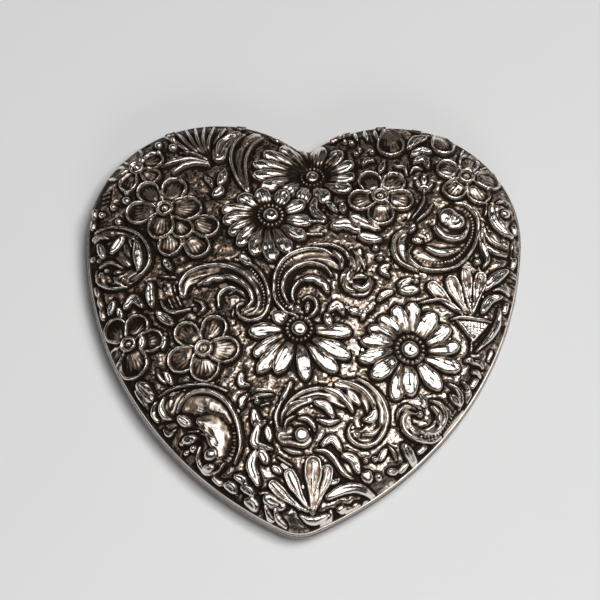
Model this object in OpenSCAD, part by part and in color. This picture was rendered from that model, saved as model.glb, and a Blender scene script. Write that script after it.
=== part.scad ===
// Low heart-shaped trinket box with a lift-off domed lid.
// Units are millimetres. The tip of the heart points along -Y, the box opens along +Z, and the
// origin is on the surface that the box stands on, at the centre of its length and width.

/* [Heart outline] */
// Length from the tip to the top of the lobes
heart_l = 78; // [74:1:84]
// Distance of each lobe's centre from the line of symmetry
lobe_x = 15.3; // [14:0.1:17]
// Radius of each lobe
lobe_r = 22.7; // [21:0.1:24]
// Radius of the long curve from a lobe down to the tip
side_r = 62; // [56:1:72]
// Radius that rounds the tip
tip_r = 6.5; // [6:0.1:8]
// Radius that rounds the cleft between the lobes
cleft_r = 2; // [1.5:0.1:4]

/* [Base] */
// Thickness of the felt under the base
felt_t = 0.6; // [0.4:0.1:1]
// Gap from the felt's edge to where the flat of the pan ends
felt_inset = 1.5; // [1:0.1:3]
// Height of the stamped pan
pan_h = 3.2; // [3:0.1:5]
// Sheet thickness of the pan
pan_t = 0.6; // [0.5:0.1:0.8]
// How far the pan's side curves in towards its flat bottom
pan_tuck = 4.2; // [3.5:0.1:5]
// Thickness of the bezel's outward flange
bezel_flange_t = 0.4; // [0.3:0.1:0.6]
// Wall thickness of the bezel that the lid slides over
bezel_t = 0.45; // [0.4:0.05:0.6]
// How far the bezel's wall stands above its flange
bezel_rise = 1.8; // [1.2:0.1:2]
// Gap all round between the bezel's wall and the lid's rim
lid_clearance = 0.15; // [0.1:0.01:0.3]

/* [Lid] */
// Gap under the lid's rim when the lid is down
seam_gap = 0.05; // [0.02:0.01:0.1]
// Height of the plain rim around the lid
rim_h = 0.8; // [0.6:0.1:1.2]
// Width of the plain rim's section
rim_w = 1.15; // [1:0.05:1.4]
// Width of the ledge that the rim shows outside the stamped shell
rim_ledge = 0.35; // [0.2:0.05:0.5]
// Height of the steep rolled edge of the shell
roll_h = 2.6; // [2:0.1:3]
// Width of the rolled edge, measured in from the outline
roll_w = 5; // [4.5:0.1:5.5]
// Height of the gently domed middle above the rolled edge
crown_h = 4.6; // [3.5:0.1:6]
// Sheet thickness of the shell
shell_t = 0.6; // [0.5:0.1:0.8]

/* [Lining] */
// Thickness of the card formers
card_t = 0.7; // [0.5:0.1:1]
// Thickness of the velvet on its wadding in the lid
lid_velvet_t = 1; // [0.8:0.1:1.4]
// Thickness of the padded velvet on the floor
floor_velvet_t = 1.4; // [1:0.1:1.6]
// Thickness of the velvet strip around the wall
wall_velvet_t = 0.6; // [0.4:0.1:0.8]

/* [Hidden] */

// A gap for glue or solder between two pieces that are fixed together.
film = 0.05;

// Heights of the parting planes.
pan_z = felt_t;
pan_top_z = pan_z + pan_h;
bezel_top_z = pan_top_z + bezel_flange_t;
rim_z = bezel_top_z + seam_gap;
shell_z = rim_z + rim_h;
roll_slope = 0.26;
roll_top = roll_h + roll_slope * (roll_w - rim_ledge);
floor_card_z = pan_z + pan_t + film;
floor_velvet_z = floor_card_z + card_t + film;
floor_top_z = floor_velvet_z + floor_velvet_t;

// Offsets in from the outline.
bezel_in = rim_w + lid_clearance;
wall_velvet_in = bezel_in + bezel_t + film;
floor_velvet_in = wall_velvet_in + wall_velvet_t + 0.2;
shell_foot_w = shell_t - 0.1;

// Centres of the arcs of the outline. The side arc touches the tip arc and the lobe arc from outside.
tip_c = [0, tip_r - heart_l / 2];
lobe_c = [lobe_x, heart_l / 2 - lobe_r];
side_c = far_centre(tip_c, side_r - tip_r, lobe_c, side_r - lobe_r);
cleft_c = [0, lobe_c.y + sqrt(pow(lobe_r + cleft_r, 2) - lobe_x * lobe_x)];
crown_c = [0, 2];

// Directions at which one arc hands over to the next.
side_from = direction(tip_c - side_c);
side_to = direction(lobe_c - side_c);
lobe_to = direction(cleft_c - lobe_c);
cleft_from = direction(lobe_c - cleft_c);

// Steps along each arc of the half outline.
tip_n = 6;
side_n = 16;
lobe_n = 26;
cleft_n = 4;
// Rings of the domed surfaces.
roll_n = 6;
crown_n = 7;
// Rings of the pan's curved side.
tuck_n = 7;

function direction(v) = atan2(v.y, v.x);
function unit(a) = [cos(a), sin(a)];

// The point at distance ra from a and rb from b, on the left when going from b to a.
function far_centre(a, ra, b, rb) =
    let (
        gap = norm(b - a),
        along = (ra * ra - rb * rb + gap * gap) / (2 * gap),
        u = (b - a) / gap
    )
    a + along * u + sqrt(ra * ra - along * along) * [-u.y, u.x];

// Points along an arc, without its last one.
function arc(c, r, a0, a1, n) = [for (i = [0:n - 1]) c + r * unit(a0 + (a1 - a0) * i / n)];

// Half of the outline set in by d, from the tip round the right lobe, up to the cleft.
function half_outline(d) = concat(
    arc(tip_c, tip_r - d, -90, side_from, tip_n),
    arc(side_c, side_r - d, side_from, side_to, side_n),
    arc(lobe_c, lobe_r - d, side_to, lobe_to, lobe_n),
    arc(cleft_c, cleft_r + d, cleft_from, -90, cleft_n)
);

// The whole outline set in by d: the right half, the cleft's point, and the left half back to the tip.
function outline(d) =
    let (right = half_outline(d))
    concat(
        right,
        [[0, cleft_c.y - cleft_r - d]],
        [for (i = [len(right) - 1:-1:1]) [-right[i].x, right[i].y]]
    );

function at_height(points, z) = [for (p = points) [p.x, p.y, z]];

// Rings of a rolled edge: it starts at offset d0 on the height z0, and ends at roll_w on z1.
function roll_rings(d0, z0, z1) = [
    for (i = [0:roll_n - 1])
        let (a = 90 * i / roll_n, linear = roll_slope * (roll_w - d0) / roll_top)
        at_height(
            outline(d0 + (roll_w - d0) * (1 - cos(a))),
            z0 + (z1 - z0) * ((1 - linear) * sin(a) + linear * (1 - cos(a)))
        )
];

// Rings of the crown: the outline at offset roll_w shrinks towards crown_c as the surface rises from z1.
function crown_rings(z1) = [
    for (i = [0:crown_n - 1])
        let (s = 1 - i / crown_n)
        at_height(
            [for (p = outline(roll_w)) crown_c + s * (p - crown_c)],
            z1 + crown_h * (1 - s * s)
        )
];

function crown_point(z1) = [crown_c.x, crown_c.y, z1 + crown_h];

// A closed solid between an upper and a lower stack of rings with equal counts. Each stack ends in a
// point over or under its last ring, and the two first rings are joined by a band.
module between(upper, lower, upper_point, lower_point) {
    n = len(upper[0]);
    rows = concat([for (i = [len(lower) - 1:-1:0]) lower[i]], upper);
    last = len(rows) - 1;
    points = concat([for (row = rows) each row], [lower_point, upper_point]);
    low = len(points) - 2;
    high = len(points) - 1;
    faces = concat(
        [for (r = [0:last - 1], i = [0:n - 1])
            let (j = (i + 1) % n)
            each [
                [r * n + i, (r + 1) * n + j, r * n + j],
                [r * n + i, (r + 1) * n + i, (r + 1) * n + j]
            ]
        ],
        [for (i = [0:n - 1]) [i, (i + 1) % n, low]],
        [for (i = [0:n - 1]) [last * n + (i + 1) % n, last * n + i, high]]
    );
    polyhedron(points, faces);
}

// A flat heart from offset d, h thick, standing on z.
module heart_plate(d, z, h) {
    translate([0, 0, z]) linear_extrude(h) polygon(outline(d));
}

// A heart-shaped ring between the offsets d0 and d1, h high, standing on z.
module heart_ring(d0, d1, z, h) {
    translate([0, 0, z]) linear_extrude(h) difference() {
        polygon(outline(d0));
        polygon(outline(d1));
    }
}

module base_felt() {
    color("#2b2226") heart_plate(pan_tuck + felt_inset, 0, felt_t);
}

// The pan is a shallow dish of one sheet, whose side curves in to a flat bottom.
module base_pan() {
    function side_rings(d0, z0, w, h) = [
        for (i = [0:tuck_n])
            let (a = 90 * i / tuck_n)
            at_height(outline(d0 + w * (1 - cos(a))), z0 - h * sin(a))
    ];
    inner_w = pan_tuck - pan_t;
    outer = side_rings(0, pan_top_z, pan_tuck, pan_h);
    inner = side_rings(pan_t, pan_top_z, inner_w, pan_h - pan_t);
    color("#b9b2aa")
        between(inner, outer, [crown_c.x, crown_c.y, pan_z + pan_t], [crown_c.x, crown_c.y, pan_z]);
}

// The bezel is an L section: its flange lies on the pan's edge, and the lid slides over its wall.
module base_bezel() {
    wall_foot = 1;
    wall_z = pan_top_z - wall_foot;
    color("#c4bdb4") union() {
        heart_ring(0, bezel_in + bezel_t, pan_top_z, bezel_flange_t);
        heart_ring(bezel_in, bezel_in + bezel_t, wall_z, wall_foot + bezel_flange_t + bezel_rise);
    }
}

module floor_card() {
    color("#8d7f6b") heart_plate(pan_tuck, floor_card_z, card_t);
}

module floor_velvet() {
    color("#5a1220") heart_plate(floor_velvet_in, floor_velvet_z, floor_velvet_t);
}

// The velvet strip stands on the padded floor's edge and ends just below the bezel's top.
module wall_velvet() {
    top_gap = 0.3;
    foot_z = pan_top_z - 0.6;
    color("#6b1727") heart_ring(
        wall_velvet_in,
        wall_velvet_in + wall_velvet_t,
        foot_z,
        bezel_top_z + bezel_rise - top_gap - foot_z
    );
}

module lid_rim() {
    color("#c8c0b6") heart_ring(0, rim_w, rim_z, rim_h);
}

// The shell is one stamped sheet: a steep rolled edge, then a gently domed middle.
module lid_shell() {
    top_z = shell_z + roll_top;
    inner_z = top_z - shell_t;
    outer = concat(roll_rings(rim_ledge, shell_z, top_z), crown_rings(top_z));
    inner = concat(roll_rings(rim_ledge + shell_foot_w, shell_z, inner_z), crown_rings(inner_z));
    color("#8f8780") between(outer, inner, crown_point(top_z), crown_point(inner_z));
}

// A domed sheet under the crown, t thick, whose upper side lies drop below the shell's outside.
module crown_sheet(drop, t) {
    top_z = shell_z + roll_top - drop;
    between(crown_rings(top_z), crown_rings(top_z - t), crown_point(top_z), crown_point(top_z - t));
}

module lid_card() {
    color("#8d7f6b") crown_sheet(shell_t + film, card_t);
}

module lid_velvet() {
    color("#6b1727") crown_sheet(shell_t + card_t + 2 * film, lid_velvet_t);
}

base_felt();
base_pan();
base_bezel();
floor_card();
floor_velvet();
wall_velvet();
lid_rim();
lid_shell();
lid_card();
lid_velvet();
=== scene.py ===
"""Looks of the heart-shaped trinket box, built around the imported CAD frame.

Lengths in the tables and in the relief code are millimetres in the CAD frame; meshes are in metres.
"""

import math

import bpy
import numpy as np
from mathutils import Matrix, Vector


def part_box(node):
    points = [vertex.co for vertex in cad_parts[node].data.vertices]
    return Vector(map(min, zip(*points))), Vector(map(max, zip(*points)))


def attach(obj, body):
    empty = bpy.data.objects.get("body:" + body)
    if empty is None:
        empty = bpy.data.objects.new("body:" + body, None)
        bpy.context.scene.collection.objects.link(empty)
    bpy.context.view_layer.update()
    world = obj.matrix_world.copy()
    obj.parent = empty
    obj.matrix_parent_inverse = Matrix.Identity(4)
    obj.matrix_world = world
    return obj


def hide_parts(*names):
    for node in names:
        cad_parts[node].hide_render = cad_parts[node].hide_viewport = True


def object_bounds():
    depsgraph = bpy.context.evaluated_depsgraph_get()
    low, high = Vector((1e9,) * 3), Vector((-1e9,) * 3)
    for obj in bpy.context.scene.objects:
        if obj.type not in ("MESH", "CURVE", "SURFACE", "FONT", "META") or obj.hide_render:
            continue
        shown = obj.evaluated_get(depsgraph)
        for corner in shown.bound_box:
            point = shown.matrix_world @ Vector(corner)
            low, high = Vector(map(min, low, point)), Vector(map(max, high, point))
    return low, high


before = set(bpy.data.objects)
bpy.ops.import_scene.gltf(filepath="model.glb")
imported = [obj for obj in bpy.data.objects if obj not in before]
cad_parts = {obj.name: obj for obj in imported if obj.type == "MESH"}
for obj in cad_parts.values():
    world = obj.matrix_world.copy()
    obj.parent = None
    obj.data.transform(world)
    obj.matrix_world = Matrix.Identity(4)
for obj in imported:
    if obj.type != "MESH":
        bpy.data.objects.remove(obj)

CAD_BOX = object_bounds()
MM = 0.001
rng = np.random.default_rng(7)

# ---------------------------------------------------------------- outline and dome, as in part.scad
HEART_L = 78.0
LOBE_X, LOBE_R, SIDE_R, TIP_R, CLEFT_R = 15.3, 22.7, 62.0, 6.5, 2.0
LEDGE, ROLL_W, ROLL_H, SLOPE, CROWN_H = 0.35, 5.0, 2.6, 0.26, 4.6
CROWN_C = np.array([0.0, 2.0])


def top_of(node):
    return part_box(node)[1].z / MM


def foot_of(node):
    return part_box(node)[0].z / MM


SHELL_Z = foot_of("lid_shell")
ROLL_TOP = ROLL_H + SLOPE * (ROLL_W - LEDGE)
LINEAR = SLOPE * (ROLL_W - LEDGE) / ROLL_TOP

TIP_C = np.array([0.0, TIP_R - HEART_L / 2])
LOBE_C = np.array([LOBE_X, HEART_L / 2 - LOBE_R])


def far_centre(a, ra, b, rb):
    gap = np.linalg.norm(b - a)
    along = (ra * ra - rb * rb + gap * gap) / (2 * gap)
    u = (b - a) / gap
    return a + along * u + math.sqrt(ra * ra - along * along) * np.array([-u[1], u[0]])


def heading(v):
    return math.atan2(v[1], v[0])


SIDE_C = far_centre(TIP_C, SIDE_R - TIP_R, LOBE_C, SIDE_R - LOBE_R)
CLEFT_C = np.array([0.0, LOBE_C[1] + math.sqrt((LOBE_R + CLEFT_R) ** 2 - LOBE_X**2)])
A_TIP, A_SIDE = heading(TIP_C - SIDE_C), heading(LOBE_C - SIDE_C)
A_LOBE, A_CLEFT = heading(CLEFT_C - LOBE_C), heading(LOBE_C - CLEFT_C)


def inset(x, y):
    """How far a point lies inside the outline; negative outside."""
    x, y = np.abs(np.asarray(x, float)), np.asarray(y, float)

    def candidate(c, value, a0, a1):
        a = np.arctan2(y - c[1], x - c[0])
        return np.where((a >= a0 - 1e-6) & (a <= a1 + 1e-6), value, 1e3)

    def reach(c):
        return np.hypot(x - c[0], y - c[1])

    return np.minimum.reduce(
        [
            candidate(TIP_C, TIP_R - reach(TIP_C), -math.pi / 2, A_TIP),
            candidate(SIDE_C, SIDE_R - reach(SIDE_C), A_TIP, A_SIDE),
            candidate(LOBE_C, LOBE_R - reach(LOBE_C), A_SIDE, A_LOBE),
            candidate(CLEFT_C, reach(CLEFT_C) - CLEFT_R, -math.pi / 2, A_CLEFT),
        ]
    )


def outline(d, count):
    """count points of the outline set in by d, anticlockwise from the tip, in step for every d."""
    spans = [
        (TIP_C, TIP_R, -math.pi / 2, A_TIP, -1),
        (SIDE_C, SIDE_R, A_TIP, A_SIDE, -1),
        (LOBE_C, LOBE_R, A_SIDE, A_LOBE, -1),
        (CLEFT_C, CLEFT_R, A_CLEFT, -math.pi / 2, 1),
    ]
    lengths = [abs(a1 - a0) * r for _, r, a0, a1, _ in spans]
    ends = np.cumsum(lengths)
    half = count // 2
    out = []
    for s in np.linspace(0, ends[-1], half + 1):
        k = min(int(np.searchsorted(ends, s, side="left")), 3)
        c, r, a0, a1, side = spans[k]
        a = a0 + (a1 - a0) * (s - (ends[k] - lengths[k])) / lengths[k]
        out.append(c + (r + side * d) * np.array([math.cos(a), math.sin(a)]))
    right = np.array(out)
    return np.vstack([right, right[1:-1][::-1] * [-1, 1]])


RING = outline(ROLL_W, 2000) - CROWN_C
RING_A = np.arctan2(RING[:, 1], RING[:, 0])
RING_R = np.hypot(RING[:, 0], RING[:, 1])
RING_ORDER = np.argsort(RING_A)
RING_A, RING_R = RING_A[RING_ORDER], RING_R[RING_ORDER]


def crown(x, y):
    """Height of the gently domed middle over the rolled edge's top."""
    dx, dy = x - CROWN_C[0], y - CROWN_C[1]
    edge = np.interp(np.arctan2(dy, dx), RING_A, RING_R, period=2 * math.pi)
    s = np.minimum(np.hypot(dx, dy) / edge, 1)
    return CROWN_H * (1 - s * s)


def roll_angle(d):
    t = np.clip((d - LEDGE) / (ROLL_W - LEDGE), 0, 1)
    return np.arccos(1 - t)


def roll(d):
    a = roll_angle(d)
    return SHELL_Z + ROLL_TOP * ((1 - LINEAR) * np.sin(a) + LINEAR * (1 - np.cos(a)))


def dome_normal(x, y):
    """Outward unit normals of the smooth dome."""
    e = 0.03  # half the step of the differences
    nx = (inset(x + e, y) - inset(x - e, y)) / (2 * e)
    ny = (inset(x, y + e) - inset(x, y - e)) / (2 * e)
    a = roll_angle(inset(x, y))
    rise = ROLL_TOP * ((1 - LINEAR) * np.cos(a) + LINEAR * np.sin(a))
    run = (ROLL_W - LEDGE) * np.sin(a)
    flat = a > math.pi / 2 - 1e-6
    e = 0.4  # wider, since the crown meets the roll at a crease
    cx = (crown(x + e, y) - crown(x - e, y)) / (2 * e)
    cy = (crown(x, y + e) - crown(x, y - e)) / (2 * e)
    slope_x = np.where(flat, 0, rise * nx) + cx * run
    slope_y = np.where(flat, 0, rise * ny) + cy * run
    n = np.stack([-slope_x, -slope_y, run], -1)
    n[flat] = np.stack([-cx, -cy, np.ones_like(cx)], -1)[flat]
    return n / np.linalg.norm(n, axis=-1, keepdims=True)


# ---------------------------------------------------------------- the stamped relief, on a plan grid
PITCH = 0.1
XS = np.arange(-40, 40 + PITCH / 2, PITCH)
YS = np.arange(-40.5, 40.5 + PITCH / 2, PITCH)
relief = np.zeros((len(YS), len(XS)))
bare = np.ones_like(relief)  # 1 on open ground, 0 on a motif
added_tone = np.zeros_like(relief)  # tone added piece by piece: oxide in the petals, darker and lighter patches, and painted shade over the bosses
FLOOR = -0.24  # the lowest ground, where 1 is DEPTH millimetres
DEPTH = 1.35
SINK_EDGE, SINK_CROWN = 0.25, 0.52  # how far the ground lies under the CAD dome
SKIN = 0.92  # from the dome to the plain inside of the shell
PETAL_HEIGHT, SPOON_HEIGHT, CUP_HEIGHT, BEAD_HEIGHT = 0.64, 0.66, 0.78, 0.42
STREAK, RIB, BEAD_PITCH, EYE_DOTS = 0.44, 0.58, 0.62, 18
NET = 1.1  # the cross-hatching's period


def smooth(v, lo, hi):
    """0 at lo and below, 1 at hi and above, an even S between."""
    t = np.clip((v - lo) / (hi - lo), 0, 1)
    return t * t * (3 - 2 * t)


def window(x0, y0, x1, y1):
    """The slices of the plan grid over a box and its surroundings, with the places of its nodes."""
    margin = 1.4
    i0 = max(int((x0 - margin - XS[0]) / PITCH), 0)
    i1 = min(int((x1 + margin - XS[0]) / PITCH) + 2, len(XS))
    j0 = max(int((y0 - margin - YS[0]) / PITCH), 0)
    j1 = min(int((y1 + margin - YS[0]) / PITCH) + 2, len(YS))
    return (slice(j0, j1), slice(i0, i1)), *np.meshgrid(XS[i0:i1], YS[j0:j1])


def curve(rows, step=0.12):
    """Catmull-Rom curve through rows (x, y, ...)."""
    p = np.array(rows, float)
    if len(p) == 1:
        return p
    p = np.vstack([2 * p[0] - p[1], p, 2 * p[-1] - p[-2]])
    out = []
    for a, b, c, d in zip(p, p[1:], p[2:], p[3:]):
        n = max(int(np.hypot(*(c - b)[:2]) / step), 2)
        t = np.linspace(0, 1, n, endpoint=False)[:, None]
        out.append(
            0.5 * (2 * b + (c - a) * t + (2 * a - 5 * b + 4 * c - d) * t**2 + (3 * b - a - 3 * c + d) * t**3)
        )
    return np.vstack([*out, p[-2:-1]])


def sweep(rows):
    """The plan grid round a curve of rows (x, y, half width).

    Gives the window, the distance inside the swept shape, the local half width, the distance to
    the left of the curve, the distance along it, and the curve's length.
    """
    c = curve(rows)
    w = c[:, 2]
    lo, hi = (c[:, :2] - w[:, None]).min(0), (c[:, :2] + w[:, None]).max(0)
    win, X, Y = window(lo[0], lo[1], hi[0], hi[1])
    best = np.full(X.shape, -1e9)
    at = np.zeros(X.shape, int)
    for k, (x, y, r) in enumerate(c[:, :3]):
        sd = r - np.hypot(X - x, Y - y)
        m = sd > best
        best[m] = sd[m]
        at[m] = k
    if len(c) > 1:
        tangent = np.gradient(c[:, :2], axis=0)
        tangent /= np.maximum(np.hypot(tangent[:, 0], tangent[:, 1]), 1e-9)[:, None]
        run = np.r_[0, np.cumsum(np.hypot(*np.diff(c[:, :2], axis=0).T))]
    else:
        tangent, run = np.array([[0.0, 1.0]]), np.zeros(1)
    dx, dy = X - c[at, 0], Y - c[at, 1]
    tx, ty = tangent[at, 0], tangent[at, 1]
    across = tx * dy - ty * dx
    along = run[at] + tx * dx + ty * dy
    return win, best, w[at], across, along, max(run[-1], 1e-6)


def press(win, sd, height, moat=0.24, reach=0.5, soft=0.09):
    """Lays a raised element over what is there, with a sunk line, moat deep, around it."""
    here = relief[win]
    inside = smooth(sd, -soft, soft)
    groove = moat * np.exp(-((np.minimum(sd, 0) / reach) ** 2))
    relief[win] = np.maximum(here - groove, FLOOR) * (1 - inside) + height * inside
    bare[win] *= 1 - smooth(sd, -0.55, -0.15)


def pillow(sd, w, fullness=1.6):
    """A round swelling: 0 at the edge, 1 at the middle of a shape of half width w."""
    u = np.clip(sd / np.maximum(w, 1e-6) * fullness, 0, 1)
    return np.sqrt(1 - (1 - u) ** 2)


def dent(v, width):
    return np.exp(-((v / width) ** 2))


def rows_of(n, flat):
    return [flat[i : i + n] for i in range(0, len(flat), n)]


def tone_patch(x, y, r, amount):
    """A darker tone over a soft round patch, or a lighter one if amount is negative."""
    win, X, Y = window(x - 2 * r, y - 2 * r, x + 2 * r, y + 2 * r)
    added_tone[win] += amount * np.exp(-(((X - x) ** 2 + (Y - y) ** 2) / (r * r)))


def ridge(half, height, *places, taper=0.4, moat=0.22):
    """A rounded raised line through places x, y; it narrows to taper of its width at both ends."""
    points = rows_of(2, places)
    rows = []
    for i, (x, y) in enumerate(points):
        u = i / max(len(points) - 1, 1)
        rows.append((x, y, 1.14 * half * (taper + (1 - taper) * math.sin(math.pi * u) ** 0.6)))
    win, sd, w, *_ = sweep(rows)
    press(win, sd, 0.06 + (height - 0.06) * pillow(sd, w, 1.05), moat, 0.42, 0.07)


def fluted(channels, *places, height=0.42, depth=0.24):
    """A scroll's body along places x, y, half width: hollow channels between sharp crests."""
    win, sd, w, across, *_ = sweep(rows_of(3, places))
    v = np.clip(across / w, -1, 1)
    crests = height - depth * np.abs(np.sin(math.pi * channels * (v + 1) / 2)) * smooth(w, 0.5, 1.6)
    press(win, sd, 0.04 + (crests - 0.04) * pillow(sd, w, 2.2), 0.22, 0.5, 0.12)


def mass(height, *places, lean=0.0):
    """A smooth swelling along places x, y, half width; lean moves its crest left (+) or right (-)."""
    win, sd, w, across, *_ = sweep(rows_of(3, places))
    v = np.clip(across / w, -1, 1)
    swell = height * (0.25 + 0.75 * np.clip(1 - (v - lean) ** 2, 0, 1)) * pillow(sd, w, 2.0)
    press(win, sd, swell, 0.2, 0.45, 0.12)


def beads(half, *places):
    """A row of small round beads along places x, y."""
    c = curve(rows_of(2, places), 0.05)
    run = np.r_[0, np.cumsum(np.hypot(*np.diff(c, axis=0).T))]
    for s in np.arange(0, run[-1], BEAD_PITCH):
        x, y = np.interp(s, run, c[:, 0]), np.interp(s, run, c[:, 1])
        blob(x, y, half, BEAD_HEIGHT, moat=0.12)


def blob(x, y, r, height=0.6, moat=0.2):
    """A small round pellet."""
    win, X, Y = window(x - r, y - r, x + r, y + r)
    sd = r - np.hypot(X - x, Y - y)
    press(win, sd, 0.1 + (height - 0.1) * pillow(sd, r, 1.05), moat, 0.34, 0.07)


def leaf(half, height, *places, lobes=0, vein=0.2):
    """A pointed leaf along places x, y, widest past its middle, with a vein and, if lobes, cut edges."""
    c = curve(rows_of(2, places), 0.25)
    rows = []
    for i, (x, y) in enumerate(c):
        u = i / max(len(c) - 1, 1)
        w = 1.08 * half * (0.28 + 0.72 * math.sin(math.pi * min(u * 0.82 + 0.12, 1)) ** 0.8)
        if lobes:
            w *= 0.74 + 0.36 * abs(math.sin(math.pi * lobes * u))
        rows.append((x, y, max(w, 0.1)))
    win, sd, w, across, along, run = sweep(rows)
    h = 0.08 + (height - 0.08) * pillow(sd, w, 1.3)
    fold = smooth(along / run, 0.02, 0.2) * (1 - smooth(along / run, 0.7, 0.95))
    h -= vein * dent(across, 0.16) * fold
    press(win, sd, h)


def petal(cx, cy, r0, tx, ty, width, sharp):
    """A daisy's folded petal from the ring r0 about (cx, cy) to its tip; sharp deepens its folds."""
    dx, dy = tx - cx, ty - cy
    full = math.hypot(dx, dy)
    ux, uy = dx / full, dy / full
    half = 0.6 * width
    length = full - r0
    rows = []
    for u, k in ((0, 0.5), (0.3, 0.84), (0.62, 1.1), (0.84, 0.86), (1, 0.14)):
        r = r0 + u * (length - 0.3 * half)
        rows.append((cx + ux * r, cy + uy * r, half * k))
    win, sd, w, across, along, run = sweep(rows)
    t = np.clip(along / run, 0, 1)
    v = across / np.maximum(w, 0.2)
    h = (0.14 + (PETAL_HEIGHT - 0.14) * pillow(sd, w, 1.7)) * (0.42 + 0.58 * smooth(t, 0.0, 0.55))
    part = smooth(t, 0.0, 0.2) * (1 - smooth(t, 0.6, 0.95))
    h -= (0.13 + 0.1 * sharp) * part * dent(across, 0.12)
    h -= (0.07 + 0.1 * sharp) * part * (dent(np.abs(v) - 0.5, 0.14))
    h -= 0.05 * smooth(across, 0.0, 0.5 * half) * part
    streaks = smooth(sd, 0.15, 0.4) * np.cos(across * (2 * math.pi / STREAK))
    h += 0.035 * streaks
    dirt = 0.16 * (1 - smooth(t, 0.15, 0.6)) - 0.07 * np.minimum(streaks, 0)
    added_tone[win] += smooth(sd, -0.1, 0.2) * dirt
    press(win, sd, h, moat=0.26, reach=0.42)


def spoon(cx, cy, tx, ty, width):
    """A palmette's petal from (cx, cy): a stalk with a round end, hollow between raised edges."""
    half = width / 2
    full = math.hypot(tx - cx, ty - cy)
    ux, uy = (tx - cx) / full, (ty - cy) / full
    bend = 0.06 * full * (1 if ux < 0 else -1) * abs(ux)
    rows = []
    for u, k in ((0.04, 0.28), (0.35, 0.42), (0.6, 0.7), (0.8, 1.0), (1, 0.92)):
        r = u * (full - half)
        off = bend * math.sin(math.pi * u)
        rows.append((cx + ux * r - uy * off, cy + uy * r + ux * off, half * k))
    win, sd, _, across, *_ = sweep(rows)
    rim = dent(sd - 0.2, 0.15)
    middle = smooth(sd, 0.3, 0.7 * half)
    h = 0.08 + (SPOON_HEIGHT - 0.08) * rim + 0.12 * middle + 0.14 * dent(across, 0.16) * middle
    press(win, sd, h, moat=0.26, reach=0.46)


def boss(x, y, r):
    """A daisy's eye: a sunk ring of dots around a raised dome with a dimple."""
    r = 1.06 * r
    win, X, Y = window(x - r, y - r, x + r, y + r)
    rho = np.hypot(X - x, Y - y)
    sd = r - rho
    a = np.arctan2(Y - y, X - x)
    inner = 0.58 * r
    dots = 0.3 * np.cos(EYE_DOTS * a) * dent(rho - 0.84 * r, 0.11 * r)
    h = 0.12 + (dots + 0.16) * dent(rho - 0.84 * r, 0.16 * r)
    h = h - 0.2 * dent(rho - inner - 0.05, 0.12 * r)
    h = np.where(rho < inner, 0.14 + 0.62 * np.sqrt(np.clip(1 - (rho / inner) ** 2, 0, 1)), h)
    h -= 0.22 * dent(np.hypot(X - x - 0.08 * r, Y - y + 0.05 * r), 0.2 * r)
    press(win, sd, h, moat=0.28, reach=0.45)
    # painted shade: the dome darkened, most towards the lower right, for the dark room it mirrors
    tone_patch(x + 0.15 * r, y - 0.1 * r, 0.75 * r, 0.24)


def cup(fx, fy, x, y, r):
    """A flower's petal at (x, y), centre (fx, fy): a thin raised rim around a ribbed hollow."""
    away = math.hypot(x - fx, y - fy)
    ux, uy = (x - fx) / away, (y - fy) / away
    rows = [
        (fx + ux * s, fy + uy * s, w * r)
        for s, w in ((away - 1.2 * r, 0.5), (away - 0.6 * r, 0.86), (away - 0.15 * r, 1.04), (away, 1.06))
    ]
    win, sd, *_ = sweep(rows)
    X, Y = np.meshgrid(XS[win[1]], YS[win[0]])
    out = ((X - fx) * ux + (Y - fy) * uy - away) / r
    turn = np.arctan2((X - fx) * uy - (Y - fy) * ux, (X - fx) * ux + (Y - fy) * uy)
    rim = dent(sd - 0.25, 0.18) * (0.6 + 0.4 * smooth(out, -0.7, 0.1))
    floor_height = 0.16 * smooth(sd, 0.5, 0.85 * r) * (1 - 0.7 * smooth(out, -0.3, 0.6))
    h = 0.02 + (CUP_HEIGHT - 0.02) * rim + floor_height
    h += 0.24 * smooth(-out, 0.1, 1.1)
    ribs = np.cos(2 * math.pi * turn * away / RIB)
    h += 0.06 * ribs * smooth(sd, 0.35, 0.6) * (1 - smooth(out, 0.1, 0.6))
    press(win, sd, h, moat=0.24, reach=0.4)


def eye(x, y, r):
    """A five-petal flower's eye: a raised ring around a small ball."""
    win, X, Y = window(x - r, y - r, x + r, y + r)
    rho = np.hypot(X - x, Y - y)
    h = 0.1 + 0.66 * dent(rho - 0.8 * r, 0.16 * r + 0.06) + 0.6 * dent(rho, 0.34 * r)
    press(win, r - rho, h, moat=0.28, reach=0.4)


def five(cx, cy, r, petals):
    """A flower of cupped petals (x, y, radius) round an eye of radius r."""
    for x, y, pr in petals:
        cup(cx, cy, x, y, pr)
    eye(cx, cy, r)


def daisy(cx, cy, r, tips, sharp=0.0):
    """A daisy of petals with tips (x, y, width) round a boss of radius r."""
    for tx, ty, w in tips:
        petal(cx, cy, 0.8 * r, tx, ty, w, sharp)
    boss(cx, cy, r)


def palmette(bx, by, tips):
    """A fan of spoons from (bx, by) to tips (x, y, width)."""
    for tx, ty, w in tips:
        spoon(bx, by, tx, ty, w)


def hatched(x0, y0, x1, y1, x2, y2):
    """A cross-hatched triangular cup."""
    win, X, Y = window(min(x0, x1, x2), min(y0, y1, y2), max(x0, x1, x2), max(y0, y1, y2))

    def side(ax, ay, bx, by):
        n = math.hypot(bx - ax, by - ay)
        return ((bx - ax) * (Y - ay) - (by - ay) * (X - ax)) / n

    sd = np.minimum.reduce([side(x0, y0, x1, y1), side(x1, y1, x2, y2), side(x2, y2, x0, y0)])
    net = np.cos(2 * math.pi * (X + Y) / NET) * np.cos(2 * math.pi * (X - Y) / NET)
    press(win, sd, 0.34 + 0.14 * net * smooth(sd, 0.2, 0.5) + 0.16 * dent(sd - 0.25, 0.16))
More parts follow.
